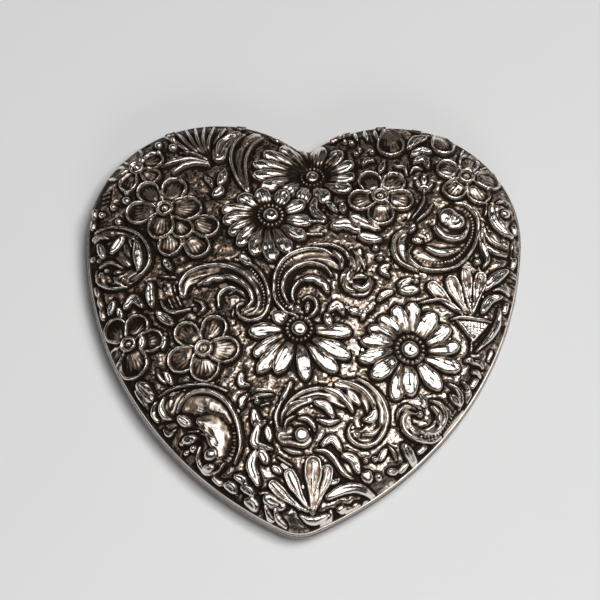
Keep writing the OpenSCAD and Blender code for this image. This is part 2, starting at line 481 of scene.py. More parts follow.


# The ornament, in the order in which it is laid, later motifs over earlier ones. Lengths are
# millimetres, and every place is a round number.
# patches made darker, and lighter ones
for x, y, r, amount in (
    (1.0, 26.5, 5.0, 0.14), (-1.0, -2.0, 4.0, 0.16), (-33.0, 12.0, 5.0, 0.10), (-30.0, -2.0, 6.0, 0.08),
    (2.0, 30.0, 7.0, 0.12), (-19.0, 33.0, 6.0, 0.10), (10.0, 28.0, 6.0, 0.10), (13.0, 6.0, 4.0, 0.06),
    (-8.0, -20.0, 4.0, 0.10), (17.0, -18.0, 5.0, -0.12), (10.0, -28.0, 6.0, -0.12),
    (14.0, -3.0, 6.0, -0.06), (-2.0, 5.0, 3.0, 0.08)):
    tone_patch(x, y, r, amount)

# the bodies of the scrolls
fluted(3, -20.6, 2.4, 0.7, -20.0, 5.0, 1.3, -16.6, 6.2, 1.6, -12.8, 6.3, 1.8, -9.6, 4.9, 2.1, -7.5, 2.2,
    2.1, -7.4, -0.8, 1.9, -9.4, -1.9, 1.4)
fluted(3, 6.6, 7.4, 1.0, 4.4, 8.9, 1.7, 0.8, 9.1, 1.9, -2.4, 7.4, 1.9, -4.1, 4.2, 1.7, -3.8, 1.2, 1.4, -2.4,
    -0.8, 1.2, -0.4, -1.8, 0.8)
fluted(2, 9.6, 10.4, 0.5, 9.2, 8.0, 1.0, 7.6, 5.4, 1.2, 8.0, 3.4, 1.2, 10.2, 3.0, 1.2, 11.4, 4.4, 0.8)
mass(0.16, 19.2, 12.0, 1.2, 20.4, 10.4, 2.2, 24.0, 11.0, 3.0, 26.6, 14.0, 3.4, 26.8, 17.6, 3.4, 27.0, 19.6,
    2.0)
fluted(1, 17.6, 15.0, 0.7, 16.4, 12.6, 1.1, 16.8, 10.0, 1.4, 19.0, 8.2, 1.0)
mass(0.5, 25.4, 18.6, 1.9, 26.2, 18.0, 1.9)
fluted(2, -36.4, 14.8, 0.7, -33.0, 15.2, 1.3, -29.6, 13.8, 1.6, -27.8, 10.8, 1.6, -28.2, 8.0, 1.4, -30.4,
    6.2, 1.3, -33.4, 5.6, 1.2, -35.0, 7.4, 0.8)
fluted(3, -35.0, 11.2, 1.4, -32.0, 12.2, 2.0, -30.4, 10.0, 1.6)
mass(0.34, -22.8, -18.6, 1.4, -20.6, -17.4, 2.2, -17.4, -18.0, 2.8, -15.0, -20.2, 3.6, -13.8, -23.4, 3.6,
    -14.4, -26.4, 2.8, -15.8, -28.0, 1.4, lean=0.2)
for k in range(5):
    ridge(0.16, 0.34, -19.6 + 0.5 * k, -17.6 - 0.5 * k, -16.4 + 0.2 * k, -18.6 - 0.6 * k, -14.4 - 0.1 * k,
        -21.6 - 0.5 * k, -14.0 - 0.35 * k, -25.4, moat=0.05)
fluted(2, -4.0, -21.6, 0.7, -2.6, -19.0, 1.1, 0.6, -16.8, 1.3, 4.4, -16.2, 1.5, 7.8, -17.4, 1.1)
fluted(3, 6.2, -14.4, 0.8, 9.8, -14.8, 1.5, 12.6, -17.2, 2.0, 13.0, -20.6, 1.9, 11.2, -23.2, 1.5, 9.0,
    -22.8, 1.0)
fluted(2, 17.8, -18.0, 0.9, 17.9, -20.6, 1.1, 20.4, -22.0, 1.2, 23.2, -21.0, 1.5, 24.4, -18.6, 1.7, 23.2,
    -16.6, 1.1)
mass(0.28, -3.4, -22.2, 1.3, -1.8, -23.8, 1.8, 0.2, -23.8, 1.8)
# long striated fan on the left lobe
for tx, ty in ((-25.4, 36.0), (-23.4, 37.0), (-21.6, 37.8), (-19.8, 38.2), (-18.0, 38.0), (-16.2, 37.6),
    (-14.2, 37.0)):
    mx, my = (tx - 16.4) / 2 - 0.8, (ty + 29.2) / 2
    ridge(0.34, 0.5, -16.6 + (tx + 19) * 0.12, 29.6, mx, my, tx, ty)
ridge(0.42, 0.6, -17.0, 29.0, -19.6, 29.7, -22.6, 29.2, -25.2, 28.3)
ridge(0.5, 0.66, -16.8, 28.2, -19.0, 28.7, -21.2, 28.2, -23.0, 26.6)
ridge(0.32, 0.5, -17.2, 29.5, -19.6, 30.9, -22.0, 31.4)
leaf(1.7, 0.6, -15.2, 30.0, -14.4, 32.4, -12.0, 35.4)
ridge(0.36, 0.72, -15.4, 30.2, -15.4, 32.6, -13.9, 34.4, -11.9, 35.2)
# the strip beside the top flower
fluted(2, -9.9, 22.6, 0.5, -11.2, 26.0, 1.0, -11.7, 29.4, 1.4, -10.8, 32.8, 1.5, -8.6, 35.6, 1.0,
    height=0.4, depth=0.2)
ridge(0.3, 0.64, -9.7, 23.0, -10.3, 26.4, -10.4, 29.6, -9.4, 32.8, -7.4, 35.2)
ridge(0.3, 0.6, -11.2, 23.9, -12.5, 27.0, -13.1, 30.0, -12.5, 33.2, -10.6, 35.8)
leaf(0.9, 0.6, -14.8, 24.2, -14.0, 26.8)

daisy(1.3, 26.4, 2.1, [
    (-1.0, 34.2, 2.5), (-4.4, 33.6, 2.5), (-7.6, 31.8, 2.4), (-9.5, 29.0, 2.3), (-9.5, 26.0, 2.3),
    (-8.0, 23.2, 2.3), (-4.6, 21.2, 2.3), (-0.6, 19.8, 2.3), (3.8, 20.4, 2.3), (8.3, 22.8, 2.4),
    (9.0, 26.0, 2.3), (8.8, 29.2, 2.3), (6.6, 32.2, 2.4), (2.8, 34.0, 2.4)], 1.0)
daisy(-5.8, 17.4, 2.3, [
    (-11.4, 21.4, 2.7), (-14.6, 18.6, 2.4), (-14.4, 16.2, 2.3), (-13.2, 13.4, 2.3), (-11.6, 11.0, 2.3),
    (-8.8, 9.0, 2.5), (-5.4, 7.6, 2.5), (-2.3, 9.4, 2.3), (0.4, 12.6, 2.3), (1.4, 16.4, 2.2),
    (0.2, 20.6, 2.3), (-3.2, 23.0, 2.3), (-7.8, 23.0, 2.3)], 1.0)

# leaf scraps around the middle
leaf(0.8, 0.66, 1.8, 21.0, 1.7, 18.8, 3.6, 16.8)
ridge(0.34, 0.5, 0.8, 16.6, 3.4, 16.3)
leaf(0.6, 0.6, 4.0, 20.4, 5.7, 18.6)
leaf(0.7, 0.5, 6.6, 20.0, 6.8, 18.4)
leaf(1.1, 0.66, 5.0, 15.2, 7.4, 15.8, 9.6, 14.4, lobes=3)
leaf(1.0, 0.5, 8.2, 17.4, 10.4, 16.2, 13.0, 15.0, lobes=3)
leaf(0.9, 0.62, 9.8, 13.4, 11.4, 12.9, 13.2, 12.8)
blob(12.4, 11.1, 0.62)
blob(13.2, 9.1, 0.62)
leaf(0.6, 0.6, 14.6, 7.8, 13.6, 7.0, 14.6, 5.9)
ridge(0.36, 0.5, 0.2, 13.7, 3.2, 13.7)
leaf(0.6, 0.6, 15.2, 2.9, 14.0, 2.4, 13.0, 1.2)
leaf(0.7, 0.6, 16.6, 4.4, 18.6, 5.6)
blob(19.4, 5.4, 0.55)
leaf(0.9, 0.4, 17.0, 3.4, 19.6, 3.8)

# small leaves over the right lobe
ridge(0.34, 0.5, 4.2, 29.2, 5.2, 30.6)
for x, y, r in ((7.0, 34.4, 0.4), (8.2, 33.9, 0.55), (9.6, 32.4, 0.4), (9.0, 31.4, 0.5), (11.8, 31.8, 0.5)):
    blob(x, y, r)
leaf(0.5, 0.6, 10.2, 28.9, 11.0, 29.8, 12.0, 29.6)
leaf(0.6, 0.6, 13.2, 27.2, 13.8, 29.2)
ridge(0.34, 0.6, 15.8, 28.4, 17.3, 28.4, 17.9, 26.9)
leaf(0.7, 0.62, 19.2, 29.6, 20.8, 30.6, 21.7, 28.6, lobes=2)
ridge(0.26, 0.5, 18.5, 27.2, 19.2, 28.3, 20.6, 28.2)
leaf(0.6, 0.6, 13.4, 24.0, 13.7, 26.3)
cup(14.6, 38.0, 15.1, 33.3, 2.4)
cup(22.6, 38.2, 24.4, 33.8, 2.0)
leaf(0.9, 0.6, 18.4, 33.0, 19.4, 34.6, 21.2, 35.4)
leaf(0.7, 0.55, 18.8, 31.2, 20.4, 32.4, 22.2, 32.2, lobes=2)
tone_patch(18.0, 34.0, 4.0, 0.1)
for x in (8.6, 10.4, 12.2):
    ridge(0.36, 0.5, x + 0.6, 34.6, x + 0.2, 36.0, x, 37.6)
ridge(0.4, 0.5, 28.0, 33.6, 27.6, 32.4)
ridge(0.4, 0.5, 26.8, 35.6, 26.4, 34.2)

five(13.2, 21.8, 1.6, [(11.4, 25.0, 2.1), (15.6, 24.9, 2.0), (16.9, 21.2, 2.1), (13.3, 18.1, 2.3),
    (9.7, 20.8, 2.1)])
five(28.4, 27.3, 1.55, [(28.9, 30.5, 1.8), (25.0, 28.6, 1.9), (26.2, 24.2, 2.0), (30.6, 23.8, 2.0),
    (32.5, 27.1, 2.0)])
five(-29.6, 28.2, 1.3, [(-30.6, 31.6, 1.8), (-26.6, 29.8, 1.7), (-26.9, 26.4, 1.6), (-31.0, 25.0, 1.6),
    (-33.4, 28.0, 1.5)])
for x, y, r in ((-26.0, 33.2, 0.7), (-23.4, 32.5, 0.8), (-23.4, 34.2, 0.5), (-28.4, 34.6, 0.5),
    (-25.8, 31.3, 0.5)):
    blob(x, y, r)
for x, y, r in ((-18.3, 11.3, 2.2), (-23.1, 11.9, 2.1), (-16.8, 15.2, 2.2), (-21.0, 14.9, 1.9)):
    cup(-23.4, 17.8, x, y, r)
five(-24.3, 19.3, 1.6, [(-27.4, 23.0, 2.0), (-22.8, 23.3, 2.2), (-20.2, 19.0, 2.4), (-24.9, 15.6, 2.3),
    (-28.9, 18.8, 2.2)])
for x, y, r in ((-31.2, 21.6, 0.8), (-33.4, 20.4, 0.6), (-32.4, 17.4, 0.7), (-35.4, 19.2, 0.6),
    (-31.2, 23.2, 0.5)):
    blob(x, y, r)
for y in (21.8, 22.8, 23.8):
    ridge(0.22, 0.45, -35.6, y, -34.4, y + 0.2)
leaf(0.9, 0.4, -15.6, 21.8, -14.4, 23.2)

# the tulip bud and stems right of the middle
ridge(0.28, 0.6, 20.9, 23.4, 20.8, 21.4, 20.0, 19.4, 18.8, 17.6)
ridge(0.28, 0.6, 22.4, 21.0, 21.5, 19.2, 19.6, 17.1)
palmette(20.9, 22.9, [(19.6, 25.6, 1.0), (22.3, 25.6, 1.0), (20.9, 26.8, 1.1)])
ridge(0.36, 0.6, 20.0, 23.8, 20.9, 24.3, 21.9, 23.7)

# beaded scroll under the right lobe
leaf(0.6, 0.66, 22.8, 16.0, 23.8, 14.8, 25.4, 14.2, 27.4, 14.6, 28.4, 16.2, vein=0)
for k in range(4):
    ridge(0.13, 0.62, 24.6 + 0.6 * k, 16.9 + 0.15 * k, 24.9 + 0.7 * k, 18.4, 25.6 + 0.5 * k, 19.6 - 0.1 * k,
        taper=0.3, moat=0.06)
tone_patch(26.8, 16.8, 1.6, 0.2)
leaf(0.6, 0.62, 21.4, 11.8, 23.8, 11.1, 27.0, 12.2, vein=0)
tone_patch(23.0, 13.6, 2.2, 0.12)
beads(0.22, 19.2, 10.0, 20.8, 9.2, 23.2, 9.2, 25.8, 10.1, 27.8, 12.2, 29.1, 14.8, 29.5, 17.4, 28.9, 19.4,
    27.2, 20.6)
ridge(0.32, 0.66, 18.8, 12.0, 18.1, 10.7, 18.4, 9.2, 19.8, 8.0, 21.8, 7.6, 24.2, 7.9, 26.5, 8.9, 28.4, 11.0,
    29.8, 13.8, 30.4, 17.0, 29.9, 19.4, 28.4, 21.1, 26.3, 21.5)
ridge(0.42, 0.66, 18.2, 14.9, 16.8, 14.6, 15.7, 13.2, 15.5, 11.2, 16.2, 9.2, 17.8, 7.9, 19.8, 7.2)
leaf(0.6, 0.6, 19.0, 16.0, 18.4, 14.8)
leaf(0.55, 0.6, 19.0, 13.2, 20.4, 13.0)

# leaves at the right edge
ridge(0.4, 0.6, 31.0, 18.2, 31.8, 15.8, 33.2, 14.3, 35.2, 13.6)
ridge(0.42, 0.6, 31.0, 17.0, 31.5, 14.0, 33.0, 12.5, 35.2, 12.1)
leaf(0.55, 0.62, 30.9, 16.2, 31.1, 13.2, 31.9, 11.0, 31.2, 9.4, vein=0)
leaf(0.7, 0.6, 32.6, 21.4, 33.0, 18.8, 34.4, 17.0, 36.2, 16.2)
ridge(0.3, 0.5, 32.0, 22.0, 31.7, 19.8)
blob(35.3, 20.7, 0.85)
ridge(0.3, 0.5, 33.8, 22.6, 34.8, 23.1, 35.6, 22.6)
ridge(0.3, 0.5, 36.4, 15.0, 36.3, 12.2)
ridge(0.3, 0.5, 32.2, 30.8, 31.0, 29.4)
blob(30.1, 10.3, 0.7)
for k in range(3):
    ridge(0.24, 0.4, 35.6 + 0.3 * k, 10.4 - 1.5 * k, 36.8 + 0.1 * k, 10.2 - 1.5 * k)

# palmette at the right
leaf(0.95, 0.5, 31.4, 5.6, 33.0, 7.4, 35.2, 9.4)
ridge(0.32, 0.55, 32.8, 5.2, 34.2, 5.8, 35.8, 5.2)
leaf(0.8, 0.42, 31.0, 1.2, 32.2, 3.4, 34.2, 4.4)
palmette(28.9, -0.4, [(21.4, 5.3, 2.3), (25.0, 7.1, 2.6), (30.9, 8.5, 2.2), (28.0, 8.9, 2.0)])
ridge(0.26, 0.6, 19.6, 1.1, 21.8, 1.9, 24.0, 2.3, 26.0, 1.4, 27.8, -0.2)
hatched(26.2, -1.0, 29.3, -4.8, 32.2, -0.9)
ridge(0.34, 0.5, 25.6, -1.0, 27.4, -0.4, 30.0, -0.4, 32.4, -0.6)
ridge(0.5, 0.66, 34.0, 2.2, 33.6, -0.6, 32.2, -3.2, 29.8, -6.2, taper=0.3)
ridge(0.26, 0.5, 29.1, -4.0, 28.9, -6.4)
for x, y in ((28.6, -8.4), (30.2, -8.6), (29.8, -10.2)):
    leaf(0.45, 0.55, x - 0.6, y + 0.2, x + 0.1, y + 0.5, x + 0.7, y - 0.1)
ridge(0.34, 0.5, 32.6, -5.4, 32.0, -7.2)

# scroll ring at the left edge
ridge(0.28, 0.5, -36.6, 14.0, -35.4, 14.8, -34.0, 14.2)
ridge(0.3, 0.62, -36.4, 15.9, -33.6, 16.4, -30.6, 15.7, -28.2, 13.9, -26.8, 11.2, -26.6, 8.8, -27.7, 7.0,
    -29.6, 5.9)
beads(0.2, -29.4, 14.4, -28.0, 12.6, -27.5, 10.6)
leaf(0.85, 0.7, -29.0, 12.8, -28.7, 10.6, -28.4, 7.8, vein=0)
ridge(0.3, 0.5, -30.4, 13.8, -29.9, 12.2)
leaf(0.8, 0.66, -31.6, 14.0, -33.2, 11.4)
leaf(0.7, 0.62, -35.5, 13.2, -34.7, 10.8)
blob(-36.6, 11.0, 0.55)
ridge(0.3, 0.5, -35.4, 9.0, -33.4, 9.6, -31.4, 8.4)
blob(-34.0, 8.1, 0.42)
ridge(0.26, 0.5, -34.6, 7.4, -34.5, 6.0, -33.4, 5.0)
ridge(0.26, 0.5, -32.7, 6.8, -32.1, 5.6, -31.0, 5.0)
ridge(0.26, 0.5, -36.0, 8.8, -35.4, 6.2, -33.2, 4.7, -30.4, 4.7)
blob(-33.4, 6.1, 0.3)
blob(-31.0, 6.2, 0.3)
leaf(0.8, 0.66, -26.2, 4.6, -26.3, 2.6, -25.8, 0.6)
leaf(0.6, 0.62, -23.9, 8.9, -22.8, 7.2)
ridge(0.3, 0.55, -24.6, 6.1, -22.0, 5.6)
leaf(0.8, 0.6, -30.4, 0.8, -29.2, 2.4, -27.6, 0.8)
leaf(0.6, 0.5, -33.2, 0.2, -32.6, 2.2)
leaf(0.5, 0.5, -31.2, -1.0, -31.6, 0.8)
leaf(0.9, 0.62, -24.6, -0.8, -23.6, -1.8, -22.2, -3.0)
five(-29.6, -5.9, 1.4, [(-32.0, -2.9, 2.0), (-28.3, -2.7, 2.0), (-25.7, -5.6, 2.0), (-28.6, -9.5, 2.4),
    (-32.2, -7.6, 1.5)])
leaf(0.6, 0.7, -27.3, -5.0, -27.3, -6.8)
leaf(0.5, 0.6, -23.5, -5.2, -23.7, -7.4)
ridge(0.36, 0.6, -24.6, -10.8, -23.9, -12.4, -23.0, -13.4)
leaf(0.6, 0.66, -23.0, -11.6, -22.0, -13.6)
leaf(1.2, 0.4, -27.6, -13.2, -25.6, -15.8)
ridge(0.26, 0.5, -27.4, -13.0, -25.9, -14.4, -24.9, -15.2)
ridge(0.26, 0.45, -28.4, -13.8, -27.4, -15.2, -26.0, -17.2)

# scroll left of the middle
ridge(0.36, 0.64, -20.9, 2.4, -21.1, 4.2, -20.1, 6.0, -18.0, 7.1, -15.5, 7.5, -13.0, 7.2, -10.9, 6.2, -9.2,
    4.7, -8.0, 2.8, -7.4, 0.8, -7.6, -1.0, -8.6, -2.0, -9.8, -2.0)
beads(0.2, -8.9, 6.6, -7.4, 4.4, -6.6, 1.8, -6.7, -0.6)
ridge(0.34, 0.66, -11.8, 8.5, -9.8, 8.0, -7.8, 6.4, -6.4, 4.0, -5.7, 1.2, -6.0, -1.2, -7.2, -2.8, -9.2,
    -3.1, -10.8, -2.1, -11.1, -0.5, -10.0, 0.2)
ridge(0.44, 0.62, -18.0, 3.9, -16.0, 5.0, -13.0, 5.2, -10.8, 4.3, -9.2, 2.6, -8.6, 0.6, -9.4, -0.7)
leaf(0.6, 0.66, -16.9, 4.0, -15.4, 4.9, -13.6, 4.7, lobes=2, vein=0)
ridge(0.38, 0.62, -14.3, -0.4, -14.3, 1.8, -13.0, 3.0, -11.3, 2.7, -9.9, 1.5)
ridge(0.26, 0.5, -12.6, 2.0, -11.6, 2.6)
ridge(0.3, 0.5, -11.9, -2.2, -11.8, -0.9)
ridge(0.34, 0.56, -24.4, 1.4, -23.4, -0.2, -21.6, -0.9, -19.2, -0.5)
ridge(0.26, 0.5, -23.1, 1.8, -22.3, 0.0)
ridge(0.3, 0.5, -21.7, 2.2, -20.9, 0.4)
ridge(0.26, 0.4, -22.2, 4.4, -22.0, 3.0)
ridge(0.32, 0.6, -18.5, 1.2, -17.2, 0.4, -16.9, -0.8, -17.8, -1.6)
blob(-18.3, -0.6, 0.45)
leaf(0.8, 0.5, -10.6, 9.0, -9.2, 7.6)

# spiral scroll in the middle
ridge(0.34, 0.66, 5.4, 9.2, 3.6, 10.2, 1.5, 10.6, -0.6, 10.2, -2.8, 8.9, -4.3, 6.8, -4.9, 4.2, -4.8, 1.6,
    -4.0, -0.5, -2.5, -1.8, -0.6, -2.4)
beads(0.22, -1.6, 8.8, -2.9, 7.6, -3.9, 5.6, -4.2, 3.4, -3.9, 1.2, -2.9, -0.4, -1.4, -1.3)
ridge(0.38, 0.64, 4.9, 5.4, 3.8, 6.9, 2.2, 7.6, 0.5, 7.7, -1.2, 7.0, -2.8, 5.4, -3.4, 3.4, -3.2, 1.6, -2.6,
    0.2)
ridge(0.34, 0.6, -1.5, 0.3, -1.8, 1.8, -1.2, 3.4, 0.2, 4.6, 2.0, 4.9)
leaf(0.7, 0.6, 0.2, 4.5, 1.8, 4.7, 3.6, 3.6, 4.2, 2.2, lobes=3, vein=0)
ridge(0.36, 0.66, 0.0, 0.6, 1.1, 1.2, 2.1, 0.6, 2.4, -0.8, 1.8, -2.0, 0.8, -2.8)
leaf(0.5, 0.6, 0.9, 0.0, 0.8, -1.6, vein=0)
blob(-0.8, -0.9, 0.6)
ridge(0.3, 0.58, 1.6, 11.4, 4.4, 11.5, 6.4, 10.7, 7.7, 9.3, 8.0, 7.4)
leaf(0.5, 0.66, 5.2, 9.9, 6.4, 8.6, 6.6, 6.8, vein=0)
leaf(0.45, 0.6, 8.2, 9.0, 8.8, 6.8, vein=0)
ridge(0.28, 0.5, 8.4, 10.6, 9.8, 9.0, 10.6, 7.0)
ridge(0.5, 0.62, 7.1, 4.8, 7.5, 3.2, 8.8, 2.5)
ridge(0.5, 0.62, 8.6, 3.6, 10.0, 3.1, 11.1, 3.9, 11.4, 5.2)
ridge(0.46, 0.64, 8.7, 5.1, 9.8, 5.5, 10.8, 5.2)

# daisies below the middle
daisy(-0.5, -4.7, 2.3, [
    (-9.4, -5.2, 2.4), (-8.4, -9.7, 2.3), (-7.7, -12.8, 2.3), (-4.4, -13.0, 2.3), (0.8, -14.4, 2.0),
    (6.1, -12.7, 2.4), (8.5, -9.8, 2.4), (8.7, -5.0, 2.2), (-5.0, -2.0, 2.0)])
leaf(0.75, 0.6, 4.2, -2.0, 4.6, -3.9)
leaf(0.75, 0.62, 4.6, -1.2, 6.0, 0.0, 7.0, -1.8, lobes=2)
leaf(0.7, 0.62, 8.0, -1.0, 10.2, -1.2, 12.0, 0.2, lobes=3)
leaf(0.45, 0.6, 10.6, -1.0, 10.2, -2.6)
daisy(18.4, -7.3, 2.5, [
    (18.9, 1.5, 2.4), (15.8, 0.5, 2.3), (13.2, -1.7, 2.3), (11.1, -3.8, 2.2), (9.7, -6.4, 2.1),
    (9.3, -9.9, 2.2), (11.7, -13.0, 2.4), (15.7, -16.7, 2.4), (18.4, -15.6, 2.4), (23.7, -14.0, 2.4),
    (27.2, -9.9, 2.4), (27.1, -5.7, 2.3), (25.4, -2.5, 2.5), (22.7, -0.2, 2.4)])
five(-16.7, -7.8, 1.6, [(-15.0, -4.2, 2.2), (-19.7, -4.9, 2.1), (-20.5, -9.5, 2.3), (-16.4, -11.1, 2.5),
    (-12.9, -8.2, 2.3)])
leaf(0.6, 0.55, -10.2, -12.6, -10.2, -14.2, -9.0, -14.6)

# shell scroll at the lower left
ridge(0.28, 0.4, -24.2, -15.6, -22.0, -14.4, -19.0, -14.0, -15.6, -14.2, -12.6, -15.4)
mass(0.5, -17.0, -20.2, 0.8, -15.0, -21.2, 1.9, -13.7, -23.2, 2.1, -13.5, -25.6, 1.4, lean=-0.55)
for k in range(3):
    ridge(0.2, 0.46, -18.0 + 0.3 * k, -20.4 - 0.9 * k, -15.9 + 0.4 * k, -21.6 - 0.8 * k, -14.6 + 0.3 * k,
        -23.8 - 0.4 * k, taper=0.3, moat=0.05)
tone_patch(-17.6, -19.2, 2.2, 0.2)
tone_patch(-16.9, -24.0, 1.8, 0.16)
tone_patch(-11.6, -22.0, 1.2, 0.2)
tone_patch(-11.8, -25.0, 1.0, 0.2)
for k in range(9):
    a = 0.32 - 0.2 * k
    x, y = -17.0 + 5.7 * math.cos(a), -23.4 + 5.7 * math.sin(a)
    ridge(0.17, 0.5, x - 0.2, y, x + 0.7 * math.cos(a), y + 0.7 * math.sin(a))
ridge(0.42, 0.7, -20.9, -18.6, -20.2, -16.9, -19.0, -15.7, -17.2, -15.2, -15.0, -15.6, -12.8, -17.1, -11.2,
    -19.5, -10.3, -22.4, -10.1, -25.2, -10.9, -27.8)
ridge(0.34, 0.56, -24.5, -16.4, -25.1, -18.0, -24.2, -19.6)
ridge(0.42, 0.62, -23.2, -15.9, -23.7, -17.6, -23.0, -19.0, -21.8, -19.7)
ridge(0.3, 0.5, -22.0, -15.8, -22.2, -17.6)
leaf(0.9, 0.66, -20.4, -19.6, -18.7, -20.8)
leaf(0.8, 0.66, -19.5, -23.3, -17.7, -23.2)
blob(-18.0, -24.8, 0.6)
ridge(0.28, 0.5, -23.2, -21.0, -22.2, -22.0, -21.2, -21.4)
ridge(0.26, 0.45, -19.0, -22.0, -17.2, -22.0)
blob(-20.0, -23.7, 0.4)
blob(-19.2, -25.2, 0.42)
ridge(0.3, 0.5, -16.9, -24.6, -17.2, -26.6, -16.0, -28.6, -14.0, -28.9, -12.7, -27.6)
blob(-15.1, -26.1, 1.05, 0.7)
leaf(0.6, 0.6, -16.0, -27.9, -14.6, -28.2)

# jagged leaf between the two lower scrolls
leaf(0.8, 0.6, -7.9, -19.2, -7.3, -21.4, -6.0, -21.0)
leaf(0.8, 0.62, -7.2, -21.8, -7.6, -24.6, -5.0, -25.6)
leaf(0.9, 0.62, -7.6, -26.2, -8.2, -28.4, -7.0, -31.4)
leaf(0.8, 0.45, -6.6, -26.0, -5.6, -27.8)
leaf(0.6, 0.4, -5.6, -22.0, -5.2, -24.2)
ridge(0.36, 0.55, -8.4, -17.0, -7.2, -16.5, -4.8, -16.4)
blob(-7.4, -17.5, 0.55)
ridge(0.26, 0.45, -6.8, -18.2, -5.4, -17.8)
leaf(0.6, 0.5, -4.4, -28.6, -3.2, -29.6)
ridge(0.4, 0.55, -3.8, -27.0, -1.4, -28.6)
for x, y in ((-9.8, -30.6), (-11.6, -31.6), (-8.6, -32.4), (-8.0, -34.4)):
    leaf(0.72, 0.56, x - 0.9, y + 0.7, x, y + 0.3, x + 0.8, y - 0.6)

# leafy scroll at the bottom
leaf(0.5, 0.66, -1.8, -14.4, -2.6, -16.2, -3.6, -18.2, vein=0)
ridge(0.36, 0.6, -3.4, -17.8, -4.2, -20.2, -3.8, -22.4)
ridge(0.28, 0.56, -3.3, -21.2, -2.9, -19.4, -1.6, -18.0, 0.6, -17.5)
ridge(0.34, 0.62, -2.7, -18.6, -1.2, -17.0, 0.6, -15.9, 2.6, -15.3, 4.6, -15.2)
leaf(0.65, 0.66, 4.2, -15.3, 6.2, -15.9, 7.8, -17.2, 8.7, -18.9, vein=0)
leaf(0.7, 0.4, 8.0, -15.6, 9.8, -17.6)
ridge(0.38, 0.64, 6.2, -13.7, 8.6, -14.2, 10.6, -15.2, 12.0, -16.9, 12.4, -18.9, 11.2, -20.2)
leaf(0.75, 0.6, 12.4, -18.6, 12.0, -19.8, 10.8, -20.2)
ridge(0.36, 0.66, 9.4, -13.2, 11.8, -14.5, 13.6, -16.6, 14.5, -19.2, 14.0, -21.8, 12.6, -23.8, 10.6, -24.6,
    8.8, -23.9, 8.0, -22.4, 8.6, -21.0)
ridge(0.36, 0.6, 10.6, -22.7, 12.2, -22.4, 13.3, -21.2)
blob(9.5, -22.8, 0.6)
ridge(0.26, 0.5, -2.8, -22.4, -2.3, -20.9, -1.0, -20.1)
ridge(0.45, 0.6, -0.4, -20.6, 1.0, -20.6, 2.0, -21.4, 2.4, -22.6)
blob(0.2, -23.3, 1.3, 0.66)
# painted shade: the ball and the mass beside it darkened, for the dark they mirror
tone_patch(-1.6, -23.8, 1.6, 0.3)
tone_patch(0.6, -23.6, 1.0, 0.24)
ridge(0.3, 0.55, -3.2, -23.7, -1.5, -23.7)
ridge(0.4, 0.4, -2.8, -25.6, -1.2, -26.2, 0.4, -26.4)
leaf(0.75, 0.66, 2.6, -17.8, 4.2, -18.3, 5.4, -20.0)
ridge(0.5, 0.4, 2.8, -20.6, 4.6, -21.0, 6.4, -20.6)
leaf(0.7, 0.64, 3.8, -24.8, 5.4, -23.8, 6.8, -25.6)
ridge(0.5, 0.45, 2.6, -25.8, 4.4, -26.0, 6.0, -27.4, 7.4, -29.4, 9.0, -30.2)
leaf(0.8, 0.62, 7.3, -26.4, 9.0, -27.0, 9.8, -29.0)
blob(11.0, -27.0, 0.5)
blob(12.6, -26.6, 0.55)
blob(11.3, -29.6, 1.1, 0.5)
blob(13.2, -29.4, 0.6, 0.5)
leaf(0.55, 0.62, 13.4, -26.6, 14.4, -24.8)
ridge(0.34, 0.56, 14.8, -24.2, 15.6, -25.2, 16.2, -26.4)
leaf(0.9, 0.6, 17.6, -24.0, 18.6, -25.4, 19.4, -26.4)
leaf(0.5, 0.5, 15.0, -28.4, 16.4, -28.0)
leaf(0.5, 0.55, 5.2, -31.2, 6.6, -30.4)

# spiral at the lower right
ridge(0.28, 0.56, 16.3, -19.6, 16.6, -18.2, 17.8, -17.2, 19.4, -17.6)
ridge(0.4, 0.66, 19.4, -18.4, 18.0, -18.4, 17.2, -19.5, 17.3, -21.0, 18.4, -22.2, 20.2, -22.7, 22.0, -22.4,
    23.8, -21.2)
ridge(0.26, 0.5, 18.5, -19.9, 18.8, -21.0, 20.0, -21.7)
ridge(0.38, 0.66, 22.0, -15.8, 23.6, -16.4, 24.4, -17.8, 24.1, -19.4, 22.8, -20.8, 21.2, -21.4, 20.0, -21.3)
leaf(0.5, 0.62, 22.3, -16.9, 23.3, -18.0, 23.3, -19.4, vein=0)
blob(20.1, -18.4, 0.6)
beads(0.22, 20.4, -22.0, 22.0, -21.7, 23.4, -20.9, 24.6, -19.7, 25.4, -18.4, 26.0, -17.0)
ridge(0.38, 0.62, 25.0, -12.6, 26.4, -13.3, 27.2, -14.8, 26.9, -16.4)
ridge(0.36, 0.6, 27.4, -11.9, 28.5, -13.0, 28.2, -14.8)
leaf(0.6, 0.66, 25.5, -14.6, 26.6, -15.6)
ridge(0.3, 0.5, 27.6, -16.2, 26.0, -18.6, 24.2, -20.8)

# palmette at the tip
ridge(0.3, 0.45, -6.8, -32.8, -4.0, -32.9, -1.6, -34.2, 0.4, -36.2)
leaf(1.3, 0.35, -5.4, -33.8, -2.8, -35.0)
palmette(2.2, -36.4, [(-5.2, -31.0, 1.9), (-2.3, -29.0, 2.2), (4.9, -28.0, 2.4), (2.2, -26.6, 3.0)])
leaf(0.85, 0.6, 4.8, -33.4, 7.2, -32.0, 9.8, -31.5, 12.6, -32.4, vein=0.08)
ridge(0.55, 0.66, 0.2, -36.5, 1.6, -37.2, 3.2, -36.9, 4.6, -36.1)
ridge(0.4, 0.5, -5.8, -34.8, -5.0, -36.4, -4.2, -37.0)
ridge(0.4, 0.56, -4.1, -35.4, -3.6, -36.8, -2.2, -38.0)
for x, y in ((7.2, -35.0), (8.6, -34.9), (9.8, -34.2), (6.7, -36.6), (11.4, -33.4)):
    leaf(0.5, 0.55, x - 0.6, y - 0.2, x + 0.7, y + 0.3)
ridge(0.4, 0.45, 5.4, -35.4, 5.0, -36.6, 3.6, -37.6)


